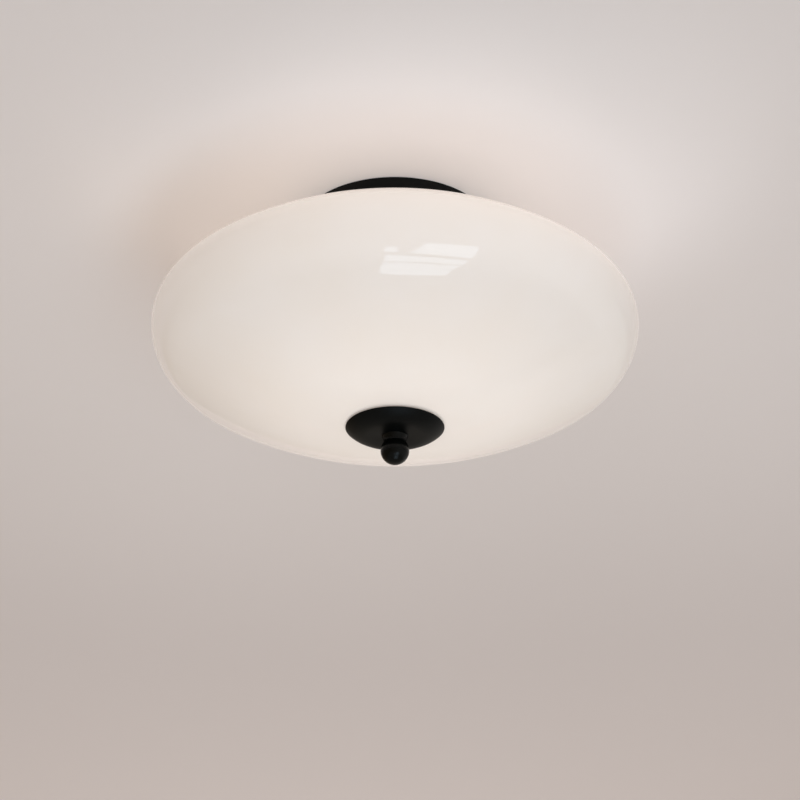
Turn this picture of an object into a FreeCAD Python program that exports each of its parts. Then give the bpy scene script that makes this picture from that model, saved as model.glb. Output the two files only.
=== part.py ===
import FreeCAD, Part
import math
import os

# A ceiling light: an opal glass bowl held up by a black cap and a ball finial, with three lamps
# in a cluster under a black canopy. Sizes are in millimetres. The ceiling is at height zero, the
# light hangs below it, and a drop is a distance below the ceiling.

Vector = FreeCAD.Vector

# Opal glass bowl
glass_radius = 190.0
glass_wall = 3.5
equator_drop = 98.0
lower_dome_depth = 81.5
lower_shoulder_radius = 41.5
upper_dome_height = 84.0
upper_shoulder_radius = 25.5
glass_seat_radius = 18.0
glass_hole_radius = 6.5
lamp_pass_clearance = 12.5

# Canopy, with the studs welded inside it
canopy_radius = 75.0
canopy_depth = 25.0
canopy_sheet = 1.0
canopy_edge_radius = 4.0
stud_radius = 1.5
block_stud_end = 0.6
earth_stud_radius = 2.0
earth_stud_end = 4.0
earth_stud_x = 40.0
earth_stud_y = 12.5

# Ceiling strap
strap_width = 26.0
strap_sheet = 1.5
strap_bend_radius = 3.0
strap_tab_margin = 5.0
strap_canopy_gap = 0.3
slot_spacing = 70.0
slot_length = 14.0
slot_half_width = 2.6
cable_hole_radius = 8.0

# Side screws that hold the canopy on the strap
side_screw_radius = 2.0
side_screw_length = 8.0
side_screw_head_radius = 3.6
side_screw_head_height = 2.2
side_screw_drop = 9.0
driver_slot_width = 0.9
driver_slot_depth = 1.0

# Upper rod, a hollow threaded tube, and what is on it
upper_rod_radius = 5.0
rod_stick_out = 2.5
upper_nut_half_flats = 7.0
upper_nut_height = 4.0
upper_washer_radius = 9.0
lock_washer_thickness = 1.0
sleeve_radius = 8.0
bush_flange_thickness = 1.0
bush_wall = 0.65
bush_lead_gap = 0.6
bush_depth = 6.0

# Lower rod, a solid threaded rod, and what is on it
lower_rod_radius = 4.0
lower_rod_chamfer = 0.8
lower_nut_half_flats = 6.5
lower_nut_height = 5.0
lower_washer_radius = 7.5
rod_end_stick_out = 1.0

# Hub, the small box that the three lampholders stand on
lamp_count = 3
first_lamp_angle = 90.0
hub_axis_drop = 84.0
hub_height = 34.0
hub_half_flats = 20.0
hub_wall = 1.6
hub_edge_radius = 2.0
post_radius = 3.0
post_nut_gap = 0.9
lid_screw_radius = 1.4
lid_screw_cover = 1.1
lid_screw_head_radius = 2.6
lid_screw_head_height = 1.8
connector_half_flats = 8.0
connector_rise = 6.0

# Nipples, the short hollow threaded tubes between the hub and the lampholders
nipple_radius = 5.0
nipple_lead_gap = 0.2
nipple_nut_half_flats = 7.0
nipple_nut_thickness = 3.0
nipple_stick_out = 1.0

# Lampholder, measured outwards from the hub's flat
holder_boss_radius = 9.0
holder_boss_length = 4.0
holder_thread_depth = 6.0
holder_shoulder_length = 10.0
holder_length = 34.0
holder_floor = 2.0
shell_length = 14.0
shell_wall = 0.45
skirt_lamp_gap = 0.85
skirt_wall = 2.15
skirt_cone_length = 2.0
tongue_width = 4.0
tongue_thickness = 0.8
tongue_reach = 4.0
tongue_overlap = 1.0
tongue_split = 0.6
contact_post_radius = 0.9
contact_post_height = 0.4
contact_gap = 0.3

# Lamp
lamp_cap_radius = 6.9
lamp_cap_wall = 0.4
lamp_tip_radius = 1.8
lamp_tip_height = 0.8
lamp_insulator_radius = 3.2
lamp_insulator_height = 2.2
lamp_cap_length = 17.5
lamp_length = 78.0
globe_radius = 22.5
globe_wall = 1.0
globe_shoulder_radius = 7.6
globe_neck_depth = 2.5
globe_neck_gap = 0.1

# Washers and clamp on the glass
shade_washer_margin = 2.0
upper_shade_washer_thickness = 1.5
lower_shade_washer_thickness = 2.5
clamp_disc_thickness = 1.5
spacer_ring_margin = 2.0

# Bottom cap
cap_radius = 38.5
cap_rim_gap = 1.4
cap_depth = 7.6
cap_flat_radius = 21.0
cap_sheet = 1.2
cap_rim_fillet = 0.4

# Finial and its threaded bush
finial_collar_height = 2.4
finial_waist_radius = 8.7
finial_waist_length = 1.5
finial_neck_fillet = 1.4
finial_ball_radius = 11.0
finial_edge_chamfer = 0.4
insert_radius = 6.0
insert_length = 12.5
finial_blind_length = 2.0
finial_blind_gap = 0.4

# Terminal block on the canopy's floor
pole_count = 3
block_web = 0.9
block_end_wall = 1.0
block_depth = 17.0
block_height = 14.0
block_offset = 36.0
barrel_axis_height = 5.5
barrel_radius = 2.6
barrel_bore_radius = 1.4
barrel_end_gap = 1.0
terminal_screw_offset = 4.0
terminal_screw_radius = 1.0
terminal_screw_head_radius = 1.8
terminal_screw_head_height = 2.0
terminal_screw_recess = 1.0
block_nut_half_flats = 2.75
block_nut_height = 2.4

# Earth ring and its nut
ring_eye_radius = 4.2
ring_sheet = 0.8
ring_neck_half_width = 1.2
ring_crimp_radius = 1.7
ring_crimp_wall = 0.7
ring_crimp_length = 6.5
ring_crimp_gap = 0.1
earth_nut_half_flats = 3.5
earth_nut_height = 3.2

# Leads
lead_radius = 1.0
lead_gap = 0.6
lamp_lead_spacing = 4.8
lead_hump_rise = 7.5
lead_straight = 7.5
lead_over_reach = 8.5
lead_over_spread = 3.2
lead_arc_share = 0.45

# Clearances: a thread or shaft in its hole, a loose hole, and a glued or pushed-in fit
running_clearance = 0.05
loose_clearance = 0.3
hole_clearance = 0.1
lamp_fit_clearance = 0.1
overrun = 1.0

# Where things lie, worked out from the sizes above
lower_arc_radius = ((glass_radius - lower_shoulder_radius) ** 2 / (lower_dome_depth - lower_shoulder_radius)
                    + lower_shoulder_radius + lower_dome_depth) / 2
upper_arc_radius = ((glass_radius - upper_shoulder_radius) ** 2 / (upper_dome_height - upper_shoulder_radius)
                    + upper_shoulder_radius + upper_dome_height) / 2


def glass_drop(radius, inset=0):
    """Drop of the glass bowl's lower face at a radius, or of its inside at the wall's inset."""
    arc_radius = lower_arc_radius - inset
    return equator_drop + lower_dome_depth - lower_arc_radius + math.sqrt(arc_radius ** 2 - radius ** 2)


pole_pitch = 2 * (barrel_radius + stud_radius + block_web)
lead_spacing = 2 * lead_radius + lead_gap
bush_bore_radius = lead_spacing / 2 + lead_radius + bush_lead_gap
upper_rod_bore_radius = bush_bore_radius + bush_wall + running_clearance
nipple_bore_radius = lamp_lead_spacing / 2 + lead_radius + nipple_lead_gap
nipple_nut_corner_radius = nipple_nut_half_flats / math.cos(math.pi / 6)

canopy_floor_drop = canopy_depth - canopy_sheet
strap_tab_drop = side_screw_drop + strap_tab_margin
earth_stud_height = ring_sheet + earth_nut_height + earth_stud_end
block_stud_height = block_height + block_nut_height + block_stud_end
upper_rod_hole_radius = upper_rod_radius + hole_clearance
canopy_nut_top_drop = canopy_floor_drop - lock_washer_thickness - upper_nut_height
upper_rod_top_drop = canopy_nut_top_drop - rod_stick_out
lead_hump_drop = upper_rod_top_drop - bush_flange_thickness - lead_hump_rise
hub_sides = 2 * lamp_count
hub_rim_drop = hub_axis_drop - hub_height / 2
hub_base_drop = hub_axis_drop + hub_height / 2
hub_floor_drop = hub_base_drop - hub_wall
lid_top_drop = hub_rim_drop - hub_wall
upper_rod_end_drop = hub_rim_drop + upper_nut_height + rod_end_stick_out
lower_rod_hole_radius = lower_rod_radius + hole_clearance
lower_rod_loose_radius = lower_rod_radius + loose_clearance
lower_rod_top_drop = hub_floor_drop - lower_nut_height - rod_end_stick_out
hub_inner_half_flats = hub_half_flats - hub_wall
post_centre_radius = hub_inner_half_flats / math.cos(math.pi / hub_sides) - post_radius
post_length = hub_height / 2 - nipple_nut_corner_radius - post_nut_gap
lid_screw_length = hub_wall + post_length - lid_screw_cover

holder_cavity = holder_thread_depth + holder_floor
shell_inner_radius = lamp_cap_radius + lamp_fit_clearance
shell_outer_radius = shell_inner_radius + shell_wall
lamp_start = holder_cavity + tongue_thickness + contact_post_height + contact_gap
lamp_reach = hub_half_flats + lamp_start + lamp_length
rim_opening_radius = lamp_reach + lamp_pass_clearance
globe_start = lamp_start + lamp_cap_length
globe_centre = lamp_start + lamp_length - globe_radius


def cone_slope(base_radius, sphere_radius):
    """Slope of the cone from the globe's start that meets its ball at a tangent."""
    away = math.hypot(globe_centre - globe_start, base_radius)
    return math.asin(sphere_radius / away) - math.atan2(base_radius, globe_centre - globe_start)


globe_slope = cone_slope(globe_shoulder_radius, globe_radius)
mouth_lamp_radius = globe_shoulder_radius + (holder_length - globe_start) * math.tan(globe_slope)
skirt_bore_radius = mouth_lamp_radius + skirt_lamp_gap
holder_radius = skirt_bore_radius + skirt_wall

shade_washer_radius = glass_seat_radius - shade_washer_margin
spacer_ring_radius = shade_washer_radius - spacer_ring_margin
glass_seat_drop = glass_drop(glass_seat_radius)
glass_inner_seat_drop = glass_drop(glass_seat_radius, glass_wall)
clamp_disc_drop = glass_inner_seat_drop - upper_shade_washer_thickness
clamp_nut_drop = clamp_disc_drop - clamp_disc_thickness
lower_washer_base_drop = glass_seat_drop + lower_shade_washer_thickness
cap_rim_drop = glass_drop(cap_radius) + cap_rim_gap
cap_base_drop = cap_rim_drop + cap_depth
cap_arc_radius = ((cap_radius - cap_flat_radius) ** 2 + cap_depth ** 2) / (2 * cap_depth)
lower_rod_end_drop = cap_base_drop + insert_length
finial_collar_radius = finial_waist_radius + finial_neck_fillet
finial_ball_rise = math.sqrt(finial_ball_radius ** 2 - finial_waist_radius ** 2)
finial_ball_drop = (cap_base_drop + finial_collar_height + finial_neck_fillet + finial_waist_length
                    + finial_ball_rise)

strap_reach = math.sqrt((canopy_radius - canopy_sheet - strap_canopy_gap) ** 2 - (strap_width / 2) ** 2)
block_half_width = pole_count * pole_pitch / 2 + block_end_wall
block_top_drop = canopy_floor_drop - block_height
barrel_axis_drop = canopy_floor_drop - barrel_axis_height
block_face_y = block_offset - block_depth / 2
ring_crimp_drop = canopy_floor_drop - ring_crimp_gap - ring_crimp_radius
ring_crimp_end_x = earth_stud_x - ring_eye_radius - ring_sheet


def cylinder(radius, top_drop, bottom_drop, x=0, y=0):
    return Part.makeCylinder(radius, bottom_drop - top_drop, Vector(x, y, -bottom_drop))


def ring(outer_radius, inner_radius, top_drop, bottom_drop, x=0, y=0):
    bore = cylinder(inner_radius, top_drop - overrun, bottom_drop + overrun, x, y)
    return cylinder(outer_radius, top_drop, bottom_drop, x, y).cut(bore)


def prism(half_flats, sides, top_drop, bottom_drop, x=0, y=0):
    """Upright bar with flat sides, one of which faces the first lamp."""
    corner_radius = half_flats / math.cos(math.pi / sides)
    corners = []
    for corner in range(sides + 1):
        angle = math.radians(first_lamp_angle) + (2 * corner + 1) * math.pi / sides
        corners.append(Vector(x + corner_radius * math.cos(angle), y + corner_radius * math.sin(angle),
                              -bottom_drop))
    return Part.Face(Part.makePolygon(corners)).extrude(Vector(0, 0, bottom_drop - top_drop))


def hex_nut(half_flats, bore_radius, top_drop, bottom_drop, x=0, y=0):
    bore = cylinder(bore_radius, top_drop - overrun, bottom_drop + overrun, x, y)
    return prism(half_flats, 6, top_drop, bottom_drop, x, y).cut(bore)


def line(start, end):
    return Part.LineSegment(start, end).toShape()


def arc(start, middle, end):
    return Part.Arc(start, middle, end).toShape()


def arc_about(centre, radius, start_angle, end_angle):
    """Arc in the upright plane through the axis, with angles measured from outwards towards up."""
    points = []
    for angle in (start_angle, (start_angle + end_angle) / 2, end_angle):
        points.append(centre + Vector(radius * math.cos(angle), 0, radius * math.sin(angle)))
    return arc(*points)


def turned(edges):
    face = Part.Face(Part.Wire(Part.__sortEdges__(edges)))
    return face.revolve(Vector(0, 0, 0), Vector(0, 0, 1), 360)


def turned_along_x(profile):
    """Solid turned about the X axis from a closed outline of (distance along the axis, radius)."""
    points = [Vector(distance, radius, 0) for distance, radius in profile]
    points.append(points[0])
    return Part.Face(Part.makePolygon(points)).revolve(Vector(0, 0, 0), Vector(1, 0, 0), 360)


def tube_along_x(outer_radius, inner_radius, start, end):
    along = Vector(1, 0, 0)
    outer = Part.makeCylinder(outer_radius, end - start, Vector(start, 0, 0), along)
    bore = Part.makeCylinder(inner_radius, end - start + 2 * overrun, Vector(start - overrun, 0, 0), along)
    return outer.cut(bore)


def at_lamp(shape, index):
    """Puts a shape that was made along X from the hub's flat on one of the hub's lamp flats."""
    placed = shape.copy()
    placed.translate(Vector(hub_half_flats, 0, -hub_axis_drop))
    placed.rotate(Vector(0, 0, 0), Vector(0, 0, 1), first_lamp_angle + index * 360 / lamp_count)
    return placed


def group(shapes):
    return Part.makeCompound(shapes)


# Ceiling strap

def side_screw_hole(radius, inner_x, outer_x):
    """Bars along X that cut the two side screw holes."""
    bars = []
    for side in (-1, 1):
        start = Vector(side * inner_x, 0, -side_screw_drop)
        bars.append(Part.makeCylinder(radius, outer_x - inner_x, start, Vector(side, 0, 0)))
    return bars


def ceiling_slot(centre_x):
    half_straight = slot_length / 2 - slot_half_width
    depth = strap_sheet + 2 * overrun
    middle = Part.makeBox(2 * half_straight, 2 * slot_half_width, depth,
                          Vector(centre_x - half_straight, -slot_half_width, -strap_sheet - overrun))
    ends = []
    for side in (-1, 1):
        end_x = centre_x + side * half_straight
        ends.append(cylinder(slot_half_width, -overrun, strap_sheet + overrun, end_x))
    return middle.fuse(ends)


def ceiling_strap():
    bend = strap_bend_radius
    inner_bend = strap_bend_radius - strap_sheet
    edges = []
    for side in (-1, 1):
        centre = Vector(side * (strap_reach - bend), 0, -bend)
        for radius in (bend, inner_bend):
            top = centre + Vector(0, 0, radius)
            corner = centre + Vector(side * radius, 0, radius) * math.sqrt(0.5)
            outer = centre + Vector(side * radius, 0, 0)
            end = Vector(outer.x, 0, -strap_tab_drop)
            edges.append(arc(top, corner, outer))
            edges.append(line(outer, end))
        edges.append(line(Vector(side * strap_reach, 0, -strap_tab_drop),
                          Vector(side * (strap_reach - strap_sheet), 0, -strap_tab_drop)))
    for drop in (0, strap_sheet):
        edges.append(line(Vector(bend - strap_reach, 0, -drop), Vector(strap_reach - bend, 0, -drop)))
    face = Part.Face(Part.Wire(Part.__sortEdges__(edges)))
    strap = face.extrude(Vector(0, strap_width, 0))
    strap.translate(Vector(0, -strap_width / 2, 0))
    cuts = [cylinder(cable_hole_radius, -overrun, strap_sheet + overrun)]
    for side in (-1, 1):
        cuts.append(ceiling_slot(side * slot_spacing / 2))
    cuts += side_screw_hole(side_screw_radius + running_clearance, strap_reach - strap_sheet - overrun,
                            strap_reach + overrun)
    return strap.cut(cuts)


# Canopy and its screws

def canopy_pan():
    edge = canopy_edge_radius
    inner_edge = canopy_edge_radius - canopy_sheet
    inner_radius = canopy_radius - canopy_sheet
    centre = Vector(canopy_radius - edge, 0, edge - canopy_depth)
    hole = upper_rod_hole_radius
    edges = [
        line(Vector(hole, 0, -canopy_depth), Vector(canopy_radius - edge, 0, -canopy_depth)),
        arc_about(centre, edge, -math.pi / 2, 0),
        line(Vector(canopy_radius, 0, edge - canopy_depth), Vector(canopy_radius, 0, 0)),
        line(Vector(canopy_radius, 0, 0), Vector(inner_radius, 0, 0)),
        line(Vector(inner_radius, 0, 0), Vector(inner_radius, 0, edge - canopy_depth)),
        arc_about(centre, inner_edge, 0, -math.pi / 2),
        line(Vector(canopy_radius - edge, 0, -canopy_floor_drop), Vector(hole, 0, -canopy_floor_drop)),
        line(Vector(hole, 0, -canopy_floor_drop), Vector(hole, 0, -canopy_depth)),
    ]
    pan = turned(edges)
    pan = pan.cut(side_screw_hole(side_screw_radius + hole_clearance, inner_radius - overrun,
                                  canopy_radius + overrun))
    weld = canopy_floor_drop + canopy_sheet / 2
    earth_stud_top = canopy_floor_drop - earth_stud_height
    studs = [cylinder(earth_stud_radius, earth_stud_top, weld, earth_stud_x, earth_stud_y)]
    for side in (-1, 1):
        studs.append(cylinder(stud_radius, canopy_floor_drop - block_stud_height, weld,
                              side * pole_pitch / 2, block_offset))
    return pan.fuse(studs).removeSplitter()


def side_screws():
    screws = []
    for side in (-1, 1):
        out = Vector(side, 0, 0)
        seat = Vector(side * canopy_radius, 0, -side_screw_drop)
        shank = Part.makeCylinder(side_screw_radius, side_screw_length, seat, out * -1)
        head = Part.makeCylinder(side_screw_head_radius, side_screw_head_height, seat, out)
        slot = Part.makeBox(2 * driver_slot_depth, 2 * (side_screw_head_radius + overrun), driver_slot_width)
        slot.translate(Vector(-driver_slot_depth, -side_screw_head_radius - overrun, -driver_slot_width / 2))
        slot.translate(seat + out * side_screw_head_height)
        screws.append(head.fuse(shank).cut(slot))
    return group(screws)


# Upper rod

def upper_rod():
    return ring(upper_rod_radius, upper_rod_bore_radius, upper_rod_top_drop, upper_rod_end_drop)


def rod_bush():
    flange = ring(upper_rod_radius, bush_bore_radius, upper_rod_top_drop - bush_flange_thickness,
                  upper_rod_top_drop)
    sleeve = ring(upper_rod_bore_radius - running_clearance, bush_bore_radius, upper_rod_top_drop,
                  upper_rod_top_drop + bush_depth)
    return flange.fuse(sleeve).removeSplitter()


def canopy_nut():
    return hex_nut(upper_nut_half_flats, upper_rod_radius + running_clearance, canopy_nut_top_drop,
                   canopy_nut_top_drop + upper_nut_height)


def canopy_lock_washer():
    return ring(upper_washer_radius, upper_rod_hole_radius, canopy_floor_drop - lock_washer_thickness,
                canopy_floor_drop)


def spacer_sleeve():
    return ring(sleeve_radius, upper_rod_radius + loose_clearance, canopy_depth, lid_top_drop)


def lid_nut():
    return hex_nut(upper_nut_half_flats, upper_rod_radius + running_clearance, hub_rim_drop,
                   hub_rim_drop + upper_nut_height)


# Hub

def rounded_prism(top_drop, bottom_drop):
    bar = prism(hub_half_flats, hub_sides, top_drop, bottom_drop)
    upright = [edge for edge in bar.Edges
               if edge.BoundBox.XLength < edge.BoundBox.ZLength > edge.BoundBox.YLength]
    return bar.makeFillet(hub_edge_radius, upright)


def post_centres():
    centres = []
    for index in range(lamp_count):
        angle = math.radians(first_lamp_angle) + (2 * index + 0.5) * math.pi / lamp_count
        centres.append((post_centre_radius * math.cos(angle), post_centre_radius * math.sin(angle)))
    return centres


def hub_body():
    hub = rounded_prism(hub_rim_drop, hub_base_drop)
    hub = hub.cut(prism(hub_inner_half_flats, hub_sides, hub_rim_drop - overrun, hub_floor_drop))
    posts = []
    cuts = [cylinder(lower_rod_hole_radius, hub_floor_drop - overrun, hub_base_drop + overrun)]
    for x, y in post_centres():
        posts.append(cylinder(post_radius, hub_rim_drop, hub_rim_drop + post_length, x, y))
        cuts.append(cylinder(lid_screw_radius + running_clearance, hub_rim_drop - overrun,
                             hub_rim_drop + post_length + overrun, x, y))
    for index in range(lamp_count):
        hole = Part.makeCylinder(nipple_radius + hole_clearance, hub_wall + 2 * overrun,
                                 Vector(-hub_wall - overrun, 0, 0), Vector(1, 0, 0))
        cuts.append(at_lamp(hole, index))
    return hub.fuse(posts).cut(cuts).removeSplitter()


def hub_lid():
    lid = rounded_prism(lid_top_drop, hub_rim_drop)
    cuts = [cylinder(upper_rod_hole_radius, lid_top_drop - overrun, hub_rim_drop + overrun)]
    for x, y in post_centres():
        cuts.append(cylinder(lid_screw_radius + hole_clearance, lid_top_drop - overrun,
                             hub_rim_drop + overrun, x, y))
    return lid.cut(cuts)


def lid_screws():
    screws = []
    for x, y in post_centres():
        head_top = lid_top_drop - lid_screw_head_height
        head = cylinder(lid_screw_head_radius, head_top, lid_top_drop, x, y)
        shank = cylinder(lid_screw_radius, lid_top_drop, lid_top_drop + lid_screw_length, x, y)
        slot = Part.makeBox(2 * (lid_screw_head_radius + overrun), driver_slot_width, 2 * driver_slot_depth)
        slot.translate(Vector(x - lid_screw_head_radius - overrun, y - driver_slot_width / 2,
                              -head_top - driver_slot_depth))
        screws.append(head.fuse(shank).cut(slot))
    return group(screws)


def hub_connector():
    return prism(connector_half_flats, hub_sides, hub_axis_drop - connector_rise, lower_rod_top_drop)


# Lower rod

def lower_rod():
    length = lower_rod_end_drop - lower_rod_top_drop
    rod = Part.makeCylinder(lower_rod_radius, length - lower_rod_chamfer,
                            Vector(0, 0, lower_rod_chamfer - lower_rod_end_drop))
    tip = Part.makeCone(lower_rod_radius - lower_rod_chamfer, lower_rod_radius, lower_rod_chamfer,
                        Vector(0, 0, -lower_rod_end_drop))
    return rod.fuse(tip)


def lower_nut(top_drop):
    return hex_nut(lower_nut_half_flats, lower_rod_radius + running_clearance, top_drop,
                   top_drop + lower_nut_height)


def hub_lock_washer():
    return ring(lower_washer_radius, lower_rod_hole_radius, hub_base_drop,
                hub_base_drop + lock_washer_thickness)


def clamp_disc():
    return ring(glass_seat_radius, lower_rod_hole_radius, clamp_nut_drop, clamp_disc_drop)


# Nipples, lampholders and lamps

def holder_nipple():
    start = -hub_wall - nipple_nut_thickness - nipple_stick_out
    return tube_along_x(nipple_radius, nipple_bore_radius, start, holder_thread_depth)


def nipple_nut():
    outline = []
    for corner in range(7):
        angle = corner * math.pi / 3
        outline.append(Vector(-hub_wall, nipple_nut_corner_radius * math.cos(angle),
                              nipple_nut_corner_radius * math.sin(angle)))
    nut = Part.Face(Part.makePolygon(outline)).extrude(Vector(-nipple_nut_thickness, 0, 0))
    bore = Part.makeCylinder(nipple_radius + running_clearance, nipple_nut_thickness + 2 * overrun,
                             Vector(-hub_wall + overrun, 0, 0), Vector(-1, 0, 0))
    return nut.cut(bore)


def lead_along_x(side, start, end):
    return Part.makeCylinder(lead_radius, end - start, Vector(start, side * lamp_lead_spacing / 2, 0),
                             Vector(1, 0, 0))


def lampholder():
    thread_radius = nipple_radius + running_clearance
    shell_bore = shell_outer_radius + running_clearance
    skirt_start = holder_cavity + shell_length + skirt_cone_length
    body = turned_along_x([
        (0, thread_radius),
        (0, holder_boss_radius),
        (holder_boss_length, holder_boss_radius),
        (holder_shoulder_length, holder_radius),
        (holder_length, holder_radius),
        (holder_length, skirt_bore_radius),
        (skirt_start, skirt_bore_radius),
        (holder_cavity + shell_length, shell_bore),
        (holder_cavity, shell_bore),
        (holder_cavity, 0),
        (holder_thread_depth, 0),
        (holder_thread_depth, thread_radius),
    ])
    wire_holes = []
    for side in (-1, 1):
        hole = Part.makeCylinder(lead_radius + hole_clearance, holder_floor + 2 * overrun,
                                 Vector(holder_thread_depth - overrun, side * lamp_lead_spacing / 2, 0),
                                 Vector(1, 0, 0))
        wire_holes.append(hole)
    return body.cut(wire_holes)


def screw_shell():
    tube = tube_along_x(shell_outer_radius, shell_inner_radius, holder_cavity, holder_cavity + shell_length)
    tongue_start = tongue_overlap + tongue_split
    tongue = Part.makeBox(tongue_thickness, shell_inner_radius + shell_wall / 2 - tongue_start, tongue_width,
                          Vector(holder_cavity, tongue_start, -tongue_width / 2))
    return tube.fuse(tongue).removeSplitter()


def centre_contact():
    tongue = Part.makeBox(tongue_thickness, tongue_reach + tongue_overlap, tongue_width,
                          Vector(holder_cavity, -tongue_reach, -tongue_width / 2))
    post = Part.makeCylinder(contact_post_radius, contact_post_height,
                             Vector(holder_cavity + tongue_thickness, 0, 0), Vector(1, 0, 0))
    return tongue.fuse(post).removeSplitter()


def lamp_cap():
    shell_start = lamp_start + lamp_tip_height + lamp_insulator_height
    cap_end = lamp_start + lamp_cap_length
    return turned_along_x([
        (lamp_start, 0),
        (lamp_start, lamp_tip_radius),
        (lamp_start + lamp_tip_height, lamp_tip_radius),
        (lamp_start + lamp_tip_height, lamp_insulator_radius),
        (shell_start, lamp_cap_radius),
        (cap_end, lamp_cap_radius),
        (cap_end, lamp_cap_radius - lamp_cap_wall),
        (shell_start + lamp_insulator_height, lamp_cap_radius - lamp_cap_wall),
        (shell_start + lamp_insulator_height, 0),
    ])


def globe_form(neck_start, neck_radius, base_radius, sphere_radius):
    """Neck, cone and ball of a lamp's globe, or of the hollow inside it."""
    slope = cone_slope(base_radius, sphere_radius)
    meet = Vector(globe_centre - sphere_radius * math.sin(slope), sphere_radius * math.cos(slope), 0)
    middle_angle = (math.pi / 2 + slope) / 2
    middle = Vector(globe_centre + sphere_radius * math.cos(middle_angle),
                    sphere_radius * math.sin(middle_angle), 0)
    tip = Vector(globe_centre + sphere_radius, 0, 0)
    outline = [Vector(neck_start, 0, 0), Vector(neck_start, neck_radius, 0),
               Vector(globe_start, neck_radius, 0)]
    if base_radius > neck_radius:
        outline.append(Vector(globe_start, base_radius, 0))
    outline.append(meet)
    edges = [line(outline[index], outline[index + 1]) for index in range(len(outline) - 1)]
    edges += [arc(meet, middle, tip), line(tip, outline[0])]
    return Part.Face(Part.Wire(edges)).revolve(Vector(0, 0, 0), Vector(1, 0, 0), 360)


def lamp_globe():
    neck_start = globe_start - globe_neck_depth
    neck_radius = lamp_cap_radius - lamp_cap_wall - globe_neck_gap
    bore_radius = neck_radius - globe_wall
    outside = globe_form(neck_start, neck_radius, globe_shoulder_radius, globe_radius)
    inside = globe_form(neck_start - overrun, bore_radius, bore_radius, globe_radius - globe_wall)
    return outside.cut(inside)


# Glass bowl and its washers

def glass_bowl():
    lower_centre = Vector(0, 0, lower_arc_radius - lower_dome_depth - equator_drop)
    upper_centre = Vector(0, 0, upper_dome_height - upper_arc_radius - equator_drop)
    lower_turn = math.atan2(glass_radius - lower_shoulder_radius, lower_arc_radius - lower_dome_depth)
    upper_turn = math.atan2(glass_radius - upper_shoulder_radius, upper_arc_radius - upper_dome_height)
    rim_turn = math.asin(rim_opening_radius / upper_arc_radius)
    down = -math.pi / 2
    up = math.pi / 2
    edges = []
    for inset, seat_drop in ((0, glass_seat_drop), (glass_wall, glass_inner_seat_drop)):
        seat_turn = math.asin(glass_seat_radius / (lower_arc_radius - inset))
        edges += [
            line(Vector(glass_hole_radius, 0, -seat_drop), Vector(glass_seat_radius, 0, -seat_drop)),
            arc_about(lower_centre, lower_arc_radius - inset, down + seat_turn, down + lower_turn),
            arc_about(Vector(glass_radius - lower_shoulder_radius, 0, -equator_drop),
                      lower_shoulder_radius - inset, down + lower_turn, 0),
            arc_about(Vector(glass_radius - upper_shoulder_radius, 0, -equator_drop),
                      upper_shoulder_radius - inset, 0, up - upper_turn),
            arc_about(upper_centre, upper_arc_radius - inset, up - upper_turn, up - rim_turn),
        ]
    outward = Vector(math.sin(rim_turn), 0, math.cos(rim_turn))
    along = Vector(-math.cos(rim_turn), 0, math.sin(rim_turn))
    outer_end = upper_centre + outward * upper_arc_radius
    inner_end = upper_centre + outward * (upper_arc_radius - glass_wall)
    lip = upper_centre + outward * (upper_arc_radius - glass_wall / 2) + along * (glass_wall / 2)
    edges.append(arc(outer_end, lip, inner_end))
    edges.append(line(Vector(glass_hole_radius, 0, -glass_seat_drop),
                      Vector(glass_hole_radius, 0, -glass_inner_seat_drop)))
    return turned(edges)


def upper_shade_washer():
    return ring(shade_washer_radius, lower_rod_loose_radius, clamp_disc_drop, glass_inner_seat_drop)


def lower_shade_washer():
    return ring(shade_washer_radius, lower_rod_loose_radius, glass_seat_drop, lower_washer_base_drop)


def spacer_ring():
    return ring(spacer_ring_radius, lower_rod_loose_radius, lower_washer_base_drop, cap_base_drop - cap_sheet)


# Bottom cap and finial

def bottom_cap():
    centre = Vector(cap_flat_radius, 0, cap_arc_radius - cap_base_drop)
    rise = cap_arc_radius - cap_depth
    edges = []
    rim_points = []
    for radius, face_drop in ((cap_arc_radius, cap_base_drop), (cap_arc_radius - cap_sheet,
                                                               cap_base_drop - cap_sheet)):
        rim_angle = -math.asin(rise / radius)
        edges.append(line(Vector(lower_rod_loose_radius, 0, -face_drop),
                          Vector(cap_flat_radius, 0, -face_drop)))
        edges.append(arc_about(centre, radius, -math.pi / 2, rim_angle))
        rim_points.append(centre + Vector(radius * math.cos(rim_angle), 0, radius * math.sin(rim_angle)))
    edges.append(line(rim_points[0], rim_points[1]))
    edges.append(line(Vector(lower_rod_loose_radius, 0, -cap_base_drop),
                      Vector(lower_rod_loose_radius, 0, cap_sheet - cap_base_drop)))
    cap = turned(edges)
    rim_edges = [edge for edge in cap.Edges if abs(edge.BoundBox.ZMin + cap_rim_drop) < running_clearance
                 and edge.BoundBox.ZLength < running_clearance]
    return cap.makeFillet(cap_rim_fillet, rim_edges)


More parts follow.
